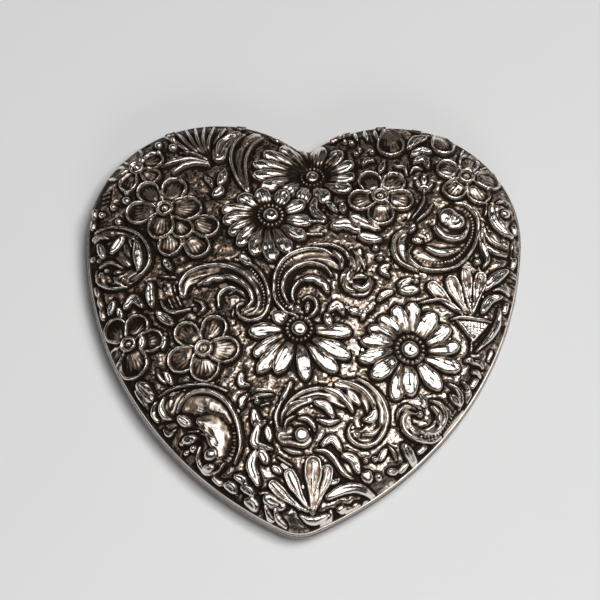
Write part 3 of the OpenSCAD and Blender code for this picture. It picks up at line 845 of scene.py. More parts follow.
OPEN_GROUND = 0.6  # the least of "bare" that takes a scrap


def is_open(x, y, reach):
    """Whether the ground is free for reach grid nodes each way."""
    i, j = int((x - XS[0]) / PITCH), int((y - YS[0]) / PITCH)
    return bare[j - reach : j + reach + 1, i - reach : i + reach + 1].min() >= OPEN_GROUND


def filler(pitch, near, far, chance):
    """Small curled leaf scraps where the ground is still open, between two insets."""
    for gy in np.arange(YS[0], YS[-1], pitch):
        for gx in np.arange(XS[0], XS[-1], pitch):
            x, y = gx + rng.uniform(-0.5, 0.5), gy + rng.uniform(-0.5, 0.5)
            a, size, dice = rng.uniform(0, 2 * math.pi), rng.uniform(0.85, 1.25), rng.uniform()
            d = float(inset(x, y))
            if not near < d < far or dice > chance:
                continue
            if not is_open(x, y, 7):
                continue
            ux, uy = math.cos(a) * size, math.sin(a) * size
            if dice < 0.25 * chance:
                blob(x, y, 0.42 * size, 0.55)
            else:
                leaf(0.5 * size, 0.56, x - ux, y - uy, x - 0.3 * uy, y + 0.3 * ux, x + ux, y + uy,
                    vein=0.12)


def hem(d, count, chance):
    """Small leaves lying along the edge, where the dome is steep and the ground still open."""
    ring = outline(d, count)
    for i in range(count):
        dice, tilt = rng.uniform(), rng.uniform(-0.16, 0.3)
        x0, y0 = ring[i] * (1 + tilt / 38)  # tilt in millimetres, about 38 from the middle
        x1, y1 = ring[(i + 1) % count]
        if dice < chance and is_open((x0 + x1) / 2, (y0 + y1) / 2, 3):
            leaf(0.34, rng.uniform(0.5, 0.85), 0.85 * x0 + 0.15 * x1, 0.85 * y0 + 0.15 * y1, x1, y1,
                vein=0.1)


hem(1.05, count=110, chance=0.92)
filler(pitch=1.4, near=1.5, far=6.0, chance=0.95)
filler(pitch=1.9, near=6.0, far=40.0, chance=0.45)


def blurred(a, sigma):
    """Gaussian blur by two passes of a sampled kernel."""
    n = int(3 * sigma / PITCH) + 1
    k = np.exp(-0.5 * (np.arange(-n, n + 1) * PITCH / sigma) ** 2)
    k /= k.sum()
    for axis in (0, 1):
        pad = [(n, n) if i == axis else (0, 0) for i in range(2)]
        b = np.pad(a, pad, mode="edge")
        a = sum(w * np.take(b, range(i, i + a.shape[axis]), axis=axis) for i, w in enumerate(k))
    return a


# the fine unevenness of the ground and the motifs
matting = blurred(rng.standard_normal(relief.shape), 0.1)
matting /= matting.std()
pits = smooth(matting, 0.3, 1.4)
relief += (0.03 * np.clip(matting, -1.6, 1.6) - 0.09 * pits) * bare
for size, ground, motif in ((0.28, 0.05, 0.025), (0.7, 0.09, 0.03)):
    uneven = blurred(rng.standard_normal(relief.shape), size)
    relief += uneven / uneven.std() * (ground * bare + motif * (1 - bare))
relief = blurred(relief, 0.06)
hollow = 0.5 * (blurred(relief, 0.35) + blurred(relief, 0.8)) - relief

# the tone: oxide, patches, and painted light and shade; what each circumstance adds to it, or takes away
MOTIF_BASE, MOTIF_HOLLOW, MOTIF_LOW, MOTIF_CREST = 0.26, 2.4, 1.2, -0.3
GROUND_BASE, GROUND_HOLLOW, GROUND_PITS = 0.28, 1.9, 0.35
OVERALL, PAINTED_LIGHT_SIDE, EDGE, FOOT = 0.125, -0.27, 0.3, 0.25
GX, GY = np.meshgrid(XS, YS)
painted_light_side = np.clip(0.5 + (GX - 0.9 * GY) / 60, 0, 1)  # painted light and shade: lighter towards the lower right, darker towards the upper left
low = np.clip(0.2 - relief, 0, 0.4)
on_motif = MOTIF_BASE + MOTIF_HOLLOW * hollow + MOTIF_LOW * low + MOTIF_CREST * smooth(relief, 0.3, 0.55)
on_ground = GROUND_BASE + GROUND_HOLLOW * hollow + GROUND_PITS * pits
edge = 1 - smooth(inset(GX, GY), 0.6, 2.0)
foot = 1 - smooth(inset(GX, GY), 0.45, 0.8)
oxide_and_shade = on_motif * (1 - bare) + on_ground * bare
# painted light and shade laid on here: lighter towards the lower right, darker towards the upper left, and
# the dark band along the edge kept to the upper left with it
oxide_and_shade = np.clip(oxide_and_shade + added_tone + OVERALL + PAINTED_LIGHT_SIDE * painted_light_side + EDGE * edge * (1 - painted_light_side) + FOOT * foot, 0, 1)


def sample(grid, x, y):
    """A plan grid's values at places, bilinear."""
    u = np.clip((x - XS[0]) / PITCH, 0, len(XS) - 1.001)
    v = np.clip((y - YS[0]) / PITCH, 0, len(YS) - 1.001)
    i, j = u.astype(int), v.astype(int)
    fu, fv = u - i, v - j
    return (grid[j, i] * (1 - fu) + grid[j, i + 1] * fu) * (1 - fv) + (
        grid[j + 1, i] * (1 - fu) + grid[j + 1, i + 1] * fu
    ) * fv


# ---------------------------------------------------------------- meshes
def make_mesh(name, points, faces):
    """A smooth-shaded object from points in millimetres."""
    me = bpy.data.meshes.new(name)
    me.from_pydata((np.asarray(points) * MM).tolist(), [], faces)
    me.validate()
    me.update()
    me.polygons.foreach_set("use_smooth", [True] * len(me.polygons))
    ob = bpy.data.objects.new(name, me)
    bpy.context.scene.collection.objects.link(ob)
    return ob


def float_attribute(me, name, values):
    a = me.attributes.new(name, "FLOAT", "POINT")
    a.data.foreach_set("value", np.asarray(values, np.float32))


def waves(x, y, size, seed):
    """Smooth random unevenness, about 1 high, over lengths near size."""
    r = np.random.default_rng(seed)
    total = np.zeros_like(x)
    for _ in range(16):
        a, length, shift = r.uniform(0, 2 * math.pi), size * r.uniform(0.6, 1.8), r.uniform(0, 2 * math.pi)
        total += np.cos(2 * math.pi / length * (x * math.cos(a) + y * math.sin(a)) + shift)
    return total / 4


AROUND = 560  # points in each ring of the plain pieces


def ring_at(d, z, wobble=0.0, seed=1):
    """The outline set in by d at height z, uneven by about wobble."""
    o = outline(d, AROUND)
    if wobble:
        centre = o.mean(0)
        out = (o - centre) / np.linalg.norm(o - centre, axis=1, keepdims=True)
        o = o + out * wobble * waves(o[:, 0], o[:, 1], 9.0, seed)[:, None]
        return np.column_stack([o, z + wobble * waves(o[:, 0], o[:, 1], 14.0, seed + 50)])
    return np.column_stack([o, np.full(AROUND, z)])


def middle_ring(s, height):
    """A ring drawn in towards the crown's centre by s, at height(s)."""
    o = CROWN_C + s * (outline(ROLL_W, AROUND) - CROWN_C)
    return np.column_stack([o, np.full(AROUND, height(s))])


def skin(name, rings, ends=None):
    """A closed surface through rings: from the low end point out, up and in, or, without ends, a hoop."""
    n = len(rings)
    points = np.vstack(rings)
    around = [(i, (i + 1) % AROUND) for i in range(AROUND)]
    faces = []
    for r in range(n - 1 if ends else n):
        a, b = r * AROUND, (r + 1) % n * AROUND
        faces += [(a + i, a + j, b + j, b + i) for i, j in around]
    if ends:
        low, high, last = len(points), len(points) + 1, (n - 1) * AROUND
        points = np.vstack([points, ends])
        for i, j in around:
            faces += [(j, i, low), (last + i, last + j, high)]
    return make_mesh(name, points, faces)


def strips(first, count, rings):
    """Faces between rings of count points each, the first ring starting at point first."""
    faces = []
    for r in range(rings - 1):
        a, b = first + r * count, first + (r + 1) * count
        faces += [(a + i, b + i, b + (i + 1) % count, a + (i + 1) % count) for i in range(count)]
    return faces


def band(name, profile, wobble=0.0, seed=1):
    return skin(name, [ring_at(d, z, wobble, seed) for d, z in profile])


def bounds_loop(cells):
    """The ordered edge vertices of a set of grid cells, anticlockwise."""
    follow = {}
    for i, j in zip(*np.nonzero(cells)):
        for a, b, ni, nj in (
            ((i, j), (i, j + 1), i - 1, j),
            ((i, j + 1), (i + 1, j + 1), i, j + 1),
            ((i + 1, j + 1), (i + 1, j), i + 1, j),
            ((i + 1, j), (i, j), i, j - 1),
        ):
            if not cells[ni, nj]:
                follow[a] = b
    start = next(iter(follow))
    loop = [start]
    while follow[loop[-1]] != start:
        loop.append(follow[loop[-1]])
    return loop


GRID_STEP = 0.165
GRID_INSET = 1.5  # where the shell's grid ends and its rings begin
RING_INSETS = [1.3, 1.13, 0.97, 0.83, 0.71, 0.61, 0.53, 0.46, 0.41, 0.37, LEDGE]
COARSE = 8  # the shell's plain inside has one point for so many of the edge
HEART_ROUND = 246  # millimetres round the outline
LIP = 0.5  # the part of the roll that stays plain inside
HIDDEN_SOOT = 0.25


def zipped(loop, ring, px, py):
    """Triangles between a ragged loop and a ring round it, and the loop's turn follows the ring's."""
    area = np.sum(px[loop] * np.roll(py[loop], -1) - np.roll(px[loop], -1) * py[loop])
    if area < 0:
        loop = loop[::-1]
    first = int(np.argmin(np.hypot(px[loop] - px[ring[0]], py[loop] - py[ring[0]])))
    loop = loop[first:] + loop[:first]
    na, nb = len(loop), len(ring)
    faces = []
    i = j = 0
    while i < na or j < nb:
        a0, a1 = loop[i % na], loop[(i + 1) % na]
        b0, b1 = ring[j % nb], ring[(j + 1) % nb]
        da = math.hypot(px[a1] - px[b0], py[a1] - py[b0]) if i < na else 1e9
        db = math.hypot(px[b1] - px[a0], py[b1] - py[a0]) if j < nb else 1e9
        if da < db:
            faces.append((a0, b0, a1))
            i += 1
        else:
            faces.append((a0, b0, b1))
            j += 1
    return faces


def shell():
    """The stamped shell: a fine grid over the dome, rings down the rolled edge, and a plain inside."""
    X, Y = np.meshgrid(np.arange(-39, 39, GRID_STEP), np.arange(-40, 40, GRID_STEP))
    keep = inset(X, Y) > GRID_INSET
    cells = np.zeros(keep.shape, bool)
    cells[:-1, :-1] = keep[:-1, :-1] & keep[1:, :-1] & keep[:-1, 1:] & keep[1:, 1:]
    used = np.zeros(keep.shape, bool)
    for corner in (used[:-1, :-1], used[1:, :-1], used[:-1, 1:], used[1:, 1:]):
        corner |= cells[:-1, :-1]
    index = np.full(keep.shape, -1)
    index[used] = np.arange(used.sum())
    px, py = X[used], Y[used]
    cj, ci = np.nonzero(cells)
    quads = np.stack([index[cj, ci], index[cj, ci + 1], index[cj + 1, ci + 1], index[cj + 1, ci]], 1)
    faces = quads.tolist()
    loop = [int(index[a]) for a in bounds_loop(cells)]

    count = COARSE * int(HEART_ROUND / GRID_STEP / COARSE)
    base = len(px)
    for d in RING_INSETS:
        o = outline(d, count)
        px, py = np.r_[px, o[:, 0]], np.r_[py, o[:, 1]]
    faces += zipped(loop, list(range(base, base + count)), px, py)
    faces += strips(base, count, len(RING_INSETS))

    d = inset(px, py)
    normal = dome_normal(px, py)
    sink = SINK_EDGE + (SINK_CROWN - SINK_EDGE) * smooth(d, 2.0, 7.0)
    depth = DEPTH * (0.75 + 0.25 * smooth(d, 0.8, 3.0))
    lift = (depth * sample(relief, px, py) - sink) * smooth(d, LEDGE, LEDGE + LIP)
    points = np.column_stack([px, py, roll(d) + crown(px, py)]) + normal * lift[:, None]
    tone = sample(oxide_and_shade, px, py)
    field = sample(bare, px, py)

    # the plain inside
    coarse = count // COARSE
    crest = SHELL_Z + ROLL_TOP - SKIN
    inside = []
    for a in np.linspace(0, math.pi / 2, 8):
        dd = LEDGE + LIP + (ROLL_W - LEDGE - LIP) * (1 - math.cos(a))
        z = SHELL_Z + (ROLL_TOP - SKIN) * ((1 - LINEAR) * math.sin(a) + LINEAR * (1 - math.cos(a)))
        inside.append(np.column_stack([outline(dd, coarse), np.full(coarse, z)]))
    for s in np.linspace(0.85, 0.1, 7):
        o = CROWN_C + s * (outline(ROLL_W, coarse) - CROWN_C)
        inside.append(np.column_stack([o, np.full(coarse, crest + CROWN_H * (1 - s * s))]))
    inner = len(points)
    points = np.vstack([points, *inside, [[*CROWN_C, crest + CROWN_H]]])
    edge = base + (len(RING_INSETS) - 1) * count
    for k in range(coarse):
        c0, c1 = inner + k, inner + (k + 1) % coarse
        for m in range(COARSE):
            f0, f1 = edge + COARSE * k + m, edge + (COARSE * k + m + 1) % count
            faces.append((f1, f0, c0) if m < COARSE // 2 else (f1, f0, c1))
        faces.append((edge + COARSE * k + COARSE // 2, c0, c1))
    faces += strips(inner, coarse, len(inside))
    last, tip = inner + (len(inside) - 1) * coarse, len(points) - 1
    faces += [(last + (k + 1) % coarse, last + k, tip) for k in range(coarse)]

    ob = make_mesh("lid_relief", points, faces)
    extra = len(points) - len(tone)
    float_attribute(ob.data, "oxide_and_shade", np.r_[tone, np.full(extra, HIDDEN_SOOT)])
    float_attribute(ob.data, "field", np.r_[field, np.zeros(extra)])
    return ob


# ---------------------------------------------------------------- materials
def material(name):
    m = bpy.data.materials.new(name)
    m.use_nodes = True
    return m, m.node_tree, m.node_tree.nodes["Principled BSDF"]


def join(nt, value, socket):
    """Links an output to a socket, or sets the socket to a number or a colour."""
    if isinstance(value, bpy.types.NodeSocket):
        nt.links.new(value, socket)
    else:
        socket.default_value = (*value, 1) if isinstance(value, tuple) else value


def dress(nt, shader, **values):
    """Joins values to the shader's inputs, whose names have underscores here for their spaces."""
    for key, value in values.items():
        join(nt, value, shader.inputs[key.replace("_", " ")])


def coords(nt, kind="Object"):
    for n in nt.nodes:
        if n.type == "TEX_COORD":
            return n.outputs[kind]
    return nt.nodes.new("ShaderNodeTexCoord").outputs[kind]


def noise(nt, scale, detail, rough=0.55, at=None):
    n = nt.nodes.new("ShaderNodeTexNoise")
    dress(nt, n, Scale=scale, Detail=detail, Roughness=rough, Vector=at or coords(nt))
    return n.outputs["Fac"]


def span(nt, value, lo, hi, out_lo=0.0, out_hi=1.0):
    """Maps lo to hi onto out_lo to out_hi, and holds the ends."""
    n = nt.nodes.new("ShaderNodeMapRange")
    dress(nt, n, Value=value, From_Min=lo, From_Max=hi, To_Min=out_lo, To_Max=out_hi)
    return n.outputs["Result"]


def maths(nt, op, a, b):
    n = nt.nodes.new("ShaderNodeMath")
    n.operation = op
    join(nt, a, n.inputs[0])
    join(nt, b, n.inputs[1])
    return n.outputs[0]


def about_zero(nt, value, amount):
    """A noise shifted to lie about zero, times amount."""
    return maths(nt, "MULTIPLY", maths(nt, "SUBTRACT", value, 0.5), amount)


def blend_colour(nt, fac, a, b):
    n = nt.nodes.new("ShaderNodeMix")
    n.data_type = "RGBA"
    for socket, value in ((n.inputs["Factor"], fac), (n.inputs[6], a), (n.inputs[7], b)):
        join(nt, value, socket)
    return n.outputs[2]


def attribute(nt, name):
    n = nt.nodes.new("ShaderNodeAttribute")
    n.attribute_name = name
    return n.outputs["Fac"]


def bumps(nt, shader, *layers):
    """Bump layers (height, strength, distance), each on the one before."""
    for height, strength, distance in layers:
        n = nt.nodes.new("ShaderNodeBump")
        dress(nt, n, Height=height, Strength=strength, Distance=distance)
        if shader.inputs["Normal"].links:
            join(nt, shader.inputs["Normal"].links[0].from_socket, n.inputs["Normal"])
        join(nt, n.outputs[0], shader.inputs["Normal"])


SILVER = (0.92, 0.865, 0.81)
WARM = (0.42, 0.31, 0.23)  # thin oxide on the slopes
OXIDE = (0.014, 0.009, 0.006)


def stamped_silver():
    """Polished on the crests, brown on the slopes and black in the hollows, from a tone that also holds
    painted light and shade.
    """
    m, nt, bsdf = material("stamped_silver_finish")
    cloud = noise(nt, 330, 4)
    fine = noise(nt, 2600, 3)
    grainy = maths(nt, "ADD", maths(nt, "MULTIPLY", attribute(nt, "field"), 0.7), 0.25)
    # the tone attribute holds oxide and painted light and shade
    mixed = maths(nt, "ADD", attribute(nt, "oxide_and_shade"), about_zero(nt, cloud, 0.8))
    mixed = maths(nt, "ADD", mixed, about_zero(nt, fine, grainy))
    brown = span(nt, mixed, 0.08, 0.36)
    black = span(nt, mixed, 0.30, 0.60)
    rough = maths(nt, "ADD", span(nt, mixed, 0.1, 0.6, 0.2, 0.46), span(nt, fine, 0.3, 0.7, -0.04, 0.06))
    dress(
        nt, bsdf, Base_Color=blend_colour(nt, black, blend_colour(nt, brown, SILVER, WARM), OXIDE),
        Metallic=span(nt, black, 0, 1, 1.0, 0.4), Roughness=rough, Specular_IOR_Level=0.18)
    bumps(nt, bsdf, (noise(nt, 3600, 2), 0.35, 0.00008), (cloud, 0.25, 0.0004))
    return m


def plain_silver():
    """Dull silver with fine scratches along the edge, darker below where the lid and the base meet: tarnish,
    and painted shade under the lid's overhang.
    """
    m, nt, bsdf = material("plain_silver_finish")
    cloud = noise(nt, 180, 5)
    stretched = nt.nodes.new("ShaderNodeMapping")
    stretched.inputs["Scale"].default_value = (900, 140, 900)
    join(nt, coords(nt), stretched.inputs["Vector"])
    scratch = noise(nt, 1.0, 3, 0.6, stretched.outputs[0])
    split = nt.nodes.new("ShaderNodeSeparateXYZ")
    join(nt, coords(nt), split.inputs[0])
    height = maths(nt, "ADD", split.outputs["Z"], about_zero(nt, cloud, 0.0016))
    # painted shade with tarnish: darker below the seam, under the lid's overhang
    low = span(nt, height, 0.0044, 0.0050, 1.0, 0.0)
    clean = blend_colour(nt, span(nt, cloud, 0.42, 0.75), (0.60, 0.55, 0.51), (0.36, 0.30, 0.26))
    dress(
        nt, bsdf, Base_Color=blend_colour(nt, low, clean, (0.24, 0.205, 0.185)), Metallic=1.0,
        Roughness=span(nt, scratch, 0.3, 0.7, 0.2, 0.36))
    bumps(nt, bsdf, (scratch, 0.12, 0.00005), (cloud, 0.1, 0.0004))
    return m


def velvet():
    m, nt, bsdf = material("velvet_finish")
    nap = noise(nt, 220, 4)
    pile = noise(nt, 5200, 2)
    shade = blend_colour(nt, span(nt, nap, 0.35, 0.7), (0.20, 0.012, 0.030), (0.34, 0.030, 0.060))
    dress(
        nt, bsdf, Base_Color=blend_colour(nt, span(nt, pile, 0.3, 0.7), shade, (0.12, 0.008, 0.018)),
        Roughness=0.9, Sheen_Weight=0.8, Sheen_Roughness=0.35, Sheen_Tint=(0.9, 0.35, 0.42),
        Specular_IOR_Level=0.15)
    bumps(nt, bsdf, (pile, 0.6, 0.0002), (nap, 0.3, 0.0006))
    return m


def fibrous(name, shades, fibre_scale, cloud_scale, contrast, clouding, bump_strength, bump_depth, **more):
    """Felt or card: fibres between the first two shades, clouded with the third."""
    m, nt, bsdf = material(name)
    fibre = noise(nt, fibre_scale, 6, 0.7)
    shade = blend_colour(nt, span(nt, fibre, 0.5 - contrast, 0.5 + contrast), shades[0], shades[1])
    clouds = span(nt, noise(nt, cloud_scale, 3), 0.4, 0.7, 0, clouding)
    dress(nt, bsdf, Base_Color=blend_colour(nt, clouds, shade, shades[2]), **more)
    bumps(nt, bsdf, (fibre, bump_strength, bump_depth))
    return m


FELT_SHADES = (0.020, 0.018, 0.022), (0.07, 0.06, 0.068), (0.035, 0.03, 0.036)
CARD_SHADES = (0.40, 0.32, 0.22), (0.52, 0.44, 0.33), (0.34, 0.27, 0.19)
FELT = fibrous(
    "felt_finish", FELT_SHADES, fibre_scale=3000, cloud_scale=150, contrast=0.2, clouding=0.4,
    bump_strength=0.6, bump_depth=0.0002, Roughness=0.95, Sheen_Weight=0.3)
CARD = fibrous(
    "card_finish", CARD_SHADES, fibre_scale=1400, cloud_scale=120, contrast=0.15, clouding=0.3,
    bump_strength=0.3, bump_depth=0.0001, Roughness=0.85)
STAMPED, PLAIN, VELVET = stamped_silver(), plain_silver(), velvet()


def place(ob, body, stands_for, finish):
    """Hangs a piece on its body, in the place of the CAD node that it stands for."""
    ob.data.materials.clear()
    ob.data.materials.append(finish)
    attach(ob, body)
    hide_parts(stands_for)
    return ob


place(shell(), "lid", "lid_shell", STAMPED)

RIM_LO, RIM_HI = foot_of("lid_rim"), top_of("lid_rim")
RIM_W = 1.15
place(
    band("lid_band", [
        (0.20, RIM_LO), (0.06, RIM_LO + 0.03), (0.0, RIM_LO + 0.14), (0.0, RIM_HI - 0.22),
        (0.04, RIM_HI - 0.08), (0.14, RIM_HI - 0.01), (0.3, RIM_HI), (RIM_W, RIM_HI), (RIM_W, RIM_LO)],
        wobble=0.018, seed=3),
    "lid", "lid_rim", PLAIN)

PAN_LO, PAN_HI, PAN_T, PAN_TUCK = foot_of("base_pan"), top_of("base_pan"), 0.6, 4.2


def pan():
    """The base's stamped pan: a flat underside, a side that tucks in, and an open top."""
    steps = [math.pi / 2 * (1 - i / 16) for i in range(17)]
    outer = [(PAN_TUCK * (1 - math.cos(a)), PAN_HI - (PAN_HI - PAN_LO) * math.sin(a)) for a in steps]
    outer[-1:] = [(0.0, PAN_HI - 0.12), (0.03, PAN_HI - 0.03), (0.12, PAN_HI)]
    tuck, deep = PAN_TUCK - PAN_T, PAN_HI - PAN_LO - PAN_T
    inner = [(PAN_T + tuck * (1 - math.cos(a)), PAN_HI - deep * math.sin(a)) for a in steps[::-2]]
    flat = [middle_ring(s, lambda s: PAN_LO) for s in (0.4, 0.8, 0.97)]
    top = [middle_ring(s, lambda s: PAN_LO + PAN_T) for s in (0.9, 0.5)]
    rings = flat + [ring_at(d, z, 0.02, 5) for d, z in outer] + [ring_at(d, z) for d, z in inner] + top
    return skin("base_dish", rings, [[*CROWN_C, PAN_LO], [*CROWN_C, PAN_LO + PAN_T]])


place(pan(), "base", "base_pan", PLAIN)

FLANGE_LO, BEZEL_HI, WALL_LO = PAN_HI, top_of("base_bezel"), foot_of("base_bezel")
FLANGE_HI = FLANGE_LO + 0.4
BEZEL_OUT, BEZEL_IN = 1.3, 1.75
place(
    band("base_collar", [
        (0.12, FLANGE_LO), (0.02, FLANGE_LO + 0.04), (0.0, FLANGE_LO + 0.12), (0.0, FLANGE_HI - 0.12),
        (0.03, FLANGE_HI - 0.03), (0.12, FLANGE_HI), (1.18, FLANGE_HI), (1.27, FLANGE_HI + 0.04),
        (BEZEL_OUT, FLANGE_HI + 0.14), (BEZEL_OUT, BEZEL_HI - 0.14), (1.34, BEZEL_HI - 0.04),
        (1.44, BEZEL_HI), (1.61, BEZEL_HI), (1.71, BEZEL_HI - 0.04), (BEZEL_IN, BEZEL_HI - 0.14),
        (BEZEL_IN, WALL_LO), (BEZEL_OUT, WALL_LO), (BEZEL_OUT, FLANGE_LO)], wobble=0.012, seed=7),
    "base", "base_bezel", PLAIN)


FELT_INSET, FLOOR_INSET, LINING_INSET = 5.7, 2.6, 2.12
FLOOR_GATHERS, LINING_GATHERS = 140, 120  # puckers round the sewn lines


def gathers(count):
    return np.cos(np.arange(AROUND) * 2 * math.pi * count / AROUND)


def felt_pad():
    """The felt under the base, slightly lumpy where it rests on the table."""
    top, d = top_of("base_felt"), FELT_INSET
    low = [middle_ring(s, lambda s: 0.0) for s in (0.2, 0.4, 0.6, 0.8, 0.95)]
    side = [
        ring_at(d + 0.16, 0.0), ring_at(d + 0.03, 0.05, 0.03, 9), ring_at(d, 0.2, 0.04, 9),
        ring_at(d, top - 0.12, 0.04, 9)]
    high = [ring_at(d + 0.14, top), *[middle_ring(s, lambda s: top) for s in (0.8, 0.4)]]
    for ring in low:
        ring[:, 2] += np.maximum(0.03 + 0.02 * waves(ring[:, 0], ring[:, 1], 3.0, 10), 0)
    for ring in side:
        ring[:, 2] = np.clip(ring[:, 2], 0, top)
    return skin("felt_pad", low + side + high, [[*CROWN_C, 0.03], [*CROWN_C, top]])


place(felt_pad(), "base", "base_felt", FELT)


def floor_cushion():
    """The velvet pad on the floor of the box: a rolled edge, a sewn line inside it and a low crown."""
    lo, hi, d = foot_of("floor_velvet"), top_of("floor_velvet"), FLOOR_INSET
    seam_at, edge_width, reach = 1.5, 0.5, 26.0

    def height(inside):
        swell = 0.55 * (1 - math.exp(-inside / 5.0))
        seam = 0.42 * math.exp(-(((inside - seam_at) / 0.34) ** 2))
        roll_edge = 0.5 * max(0.0, 1 - inside / edge_width) ** 2
        return hi - 0.05 + swell - seam - roll_edge

    low = [middle_ring(s, lambda s: lo) for s in (0.3, 0.7, 0.95)]
    profile = (0.4, lo), (0.14, lo + 0.06), (0.02, lo + 0.3), (0.0, lo + 0.7), (0.05, hi - 0.42)
    side = [ring_at(d + x, z) for x, z in profile]
    top = [ring_at(d + 0.1 + x, height(x)) for x in np.linspace(0.02, 2.2, 24)]
    top += [middle_ring(s, lambda s: height(2.4 + reach * (1 - s))) for s in np.linspace(0.995, 0.03, 46)]
    for ring in top:
        inside = inset(ring[:, 0], ring[:, 1]) - d
        ring[:, 2] += 0.06 * waves(ring[:, 0], ring[:, 1], 13.0, 21) * smooth(inside, 0.3, 4)
        ring[:, 2] += 0.05 * gathers(FLOOR_GATHERS) * dent(inside - 1.6, 0.7)
    return skin("floor_cushion", low + side + top, [[*CROWN_C, lo], [*CROWN_C, height(2.4 + reach)]])


place(floor_cushion(), "base", "floor_velvet", VELVET)

WALL_IN, WALL_HI = 2.4, top_of("wall_velvet")
WALL_FOOT = foot_of("wall_velvet")
place(
    band("wall_padding", [
        (1.86, WALL_FOOT), (1.8, WALL_FOOT + 0.1), (1.8, WALL_HI - 0.3), (1.84, WALL_HI - 0.12),
        (1.93, WALL_HI - 0.02), (2.06, WALL_HI + 0.02), (2.2, WALL_HI - 0.01), (2.32, WALL_HI - 0.1),
        (2.42, WALL_HI - 0.3), (2.47, WALL_HI - 0.7), (2.5, WALL_HI - 1.3), (2.48, WALL_HI - 1.8),
        (WALL_IN, WALL_HI - 2.3), (2.3, WALL_FOOT)], wobble=0.015, seed=11),
    "base", "wall_velvet", VELVET)

CROWN_EDGE = SHELL_Z + ROLL_TOP


def lid_backing():
    """Stiff card pressed into the crown, under the stamped shell."""
    top, low = CROWN_EDGE - SKIN - 0.06, CROWN_EDGE - SKIN - 0.42
    steps = np.linspace(0.03, 0.98, 22)
    under = [middle_ring(s, lambda s: low + CROWN_H * (1 - s * s)) for s in steps]
    over = [middle_ring(s, lambda s: top + CROWN_H * (1 - s * s)) for s in steps[::-1]]
    return skin("lid_backing", under + over, [[*CROWN_C, low + CROWN_H], [*CROWN_C, top + CROWN_H]])


place(lid_backing(), "lid", "lid_card", CARD)


def lid_lining():
    """The lid's padded velvet, from inside the rim up over the crown."""
    edge, start, flat = LINING_INSET, 6.14, 6.9  # its inset, and the heights where it starts and levels
    top = flat + 0.62
    seam_at = 2.9

    def under(inside):
        t = inside / (ROLL_W - edge)
        return start + (flat - start) * math.sin(math.pi / 2 * t) - 0.12 * math.sin(math.pi * t)

    def vault(z, peak):
        return lambda s: z + (peak - z) * (1 - s * s)

    peak_low, peak_high = CROWN_EDGE + CROWN_H - 2.3, CROWN_EDGE + CROWN_H - SKIN - 0.5
    lower = [middle_ring(s, vault(flat, peak_low)) for s in np.linspace(0.03, 0.99, 44)]
    lower += [ring_at(edge + x, under(x)) for x in np.linspace(ROLL_W - edge, 0.35, 14)]
    profile = (0.18, 0.03), (0.06, 0.12), (0.0, 0.26), (0.05, 0.4), (0.18, 0.48)
    turn = [ring_at(edge + x, start + z) for x, z in profile]
    upper = [ring_at(edge + x, under(x) + 0.4 + 0.25 * x / 2.9) for x in np.linspace(0.5, ROLL_W - edge, 8)]
    upper += [middle_ring(s, vault(top, peak_high)) for s in np.linspace(0.98, 0.03, 18)]
    for ring in lower:
        inside = inset(ring[:, 0], ring[:, 1]) - edge
        ring[:, 2] += 0.09 * waves(ring[:, 0], ring[:, 1], 15.0, 31) * smooth(inside, 0.5, 4)
        ring[:, 2] += 0.16 * dent(inside - seam_at, 0.4)
        ring[:, 2] += 0.05 * gathers(LINING_GATHERS) * dent(inside - seam_at, 0.9)
    return skin("lid_lining", lower + turn + upper, [[*CROWN_C, peak_low], [*CROWN_C, peak_high]])


place(lid_lining(), "lid", "lid_velvet", VELVET)

# the card under the floor cushion stays the CAD's
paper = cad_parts["floor_card"].data
paper.materials.clear()
paper.materials.append(CARD)

# ---------------------------------------------------------------- floor, light and camera
lo, hi = CAD_BOX
mid = (lo + hi) / 2


def floor():
    """The pale table."""
    s = 3.0  # half its side, in metres
    me = bpy.data.meshes.new("floor")
    me.from_pydata([(-s, -s, 0), (s, -s, 0), (s, s, 0), (-s, s, 0)], [], [(0, 1, 2, 3)])
    ob = bpy.data.objects.new("floor", me)
    bpy.context.scene.collection.objects.link(ob)
    m, nt, bsdf = material("floor_finish")
    clouds = span(nt, noise(nt, 3, 2), 0.3, 0.7)
    pale = blend_colour(nt, clouds, (0.78, 0.78, 0.78), (0.80, 0.80, 0.80))
    dress(nt, bsdf, Base_Color=pale, Roughness=0.7, Specular_IOR_Level=0.2)
    me.materials.append(m)


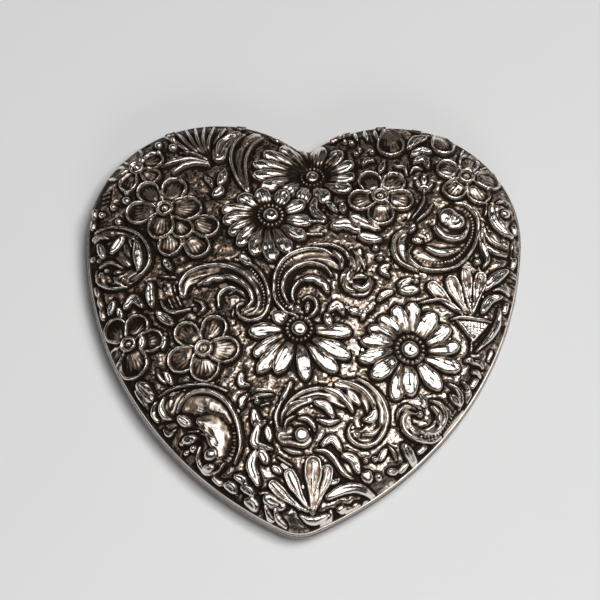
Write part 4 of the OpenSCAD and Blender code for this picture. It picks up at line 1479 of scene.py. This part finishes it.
def panel(name, mirror, stand, aim, size_x, size_y, power, colour=(1, 1, 1)):
    """A square lamp at stand, facing aim, in metres and watts; mirror tells whether it is only mirrored."""
    light = bpy.data.lights.new(name, "AREA")
    light.shape = "RECTANGLE"
    light.size, light.size_y = size_x, size_y
    light.energy = power
    light.color = colour
    ob = bpy.data.objects.new(name, light)
    bpy.context.scene.collection.objects.link(ob)
    ob.location = stand
    ob.rotation_euler = (Vector(aim) - Vector(stand)).to_track_quat("-Z", "Y").to_euler()
    ob.visible_camera = False
    ob.visible_diffuse = not mirror
    ob.visible_glossy = mirror


floor()
# The metal mirrors the first two; the other two light the floor and the cloth. Each: where it stands,
# what it faces, its two sizes, its power and its colour.
panel("overhead", True, (0.16, 0.0, 0.62), (0.16, 0.0, 0.0), 0.92, 0.58, 2.3, (1.0, 0.99, 0.975))
panel("key", True, (0.22, 0.10, 0.60), (0.0, 0.0, 0.0), 0.24, 0.24, 0.55, (1.0, 0.985, 0.96))
panel("fill_top", False, (0.25, -0.14, 0.88), (0.0, 0.0, 0.0), 0.45, 0.4, 7.5)
panel("fill_front", False, (0.20, -0.85, 0.50), (0.0, 0.0, 0.0), 0.5, 0.3, 1.8)


def studio():
    """A dark room with a pale band near the horizon."""
    world = bpy.data.worlds.new("studio")
    bpy.context.scene.world = world
    world.use_nodes = True
    nt = world.node_tree
    ground = nt.nodes["Background"]
    split = nt.nodes.new("ShaderNodeSeparateXYZ")
    join(nt, coords(nt, "Generated"), split.inputs[0])
    dress(nt, ground, Color=(1.0, 0.95, 0.90), Strength=span(nt, split.outputs["Z"], 0.12, 0.30, 0.40,
        0.018))


studio()

AZ, EL = math.radians(0.87), math.radians(64.0)
DIST, WIDE, SENSOR = 0.48, 0.104, 36  # metres to the aim and across the picture there; millimetres
AIM_X, AIM_Y, AIM_Z = -0.0005, 0.0046, 0.37  # off the middle, and the share of the height
aim = Vector((mid.x + AIM_X, mid.y + AIM_Y, lo.z + AIM_Z * (hi.z - lo.z)))
back = Vector((math.sin(AZ) * math.cos(EL), -math.cos(AZ) * math.cos(EL), math.sin(EL)))
cam = bpy.data.cameras.new("camera")
cam.sensor_width = SENSOR
cam.lens = SENSOR * DIST / WIDE
cam_ob = bpy.data.objects.new("camera", cam)
bpy.context.scene.collection.objects.link(cam_ob)
cam_ob.location = aim + back * DIST
cam_ob.rotation_euler = (-back).to_track_quat("-Z", "Y").to_euler()
bpy.context.scene.camera = cam_ob
bpy.context.scene.view_settings.view_transform = "Standard"
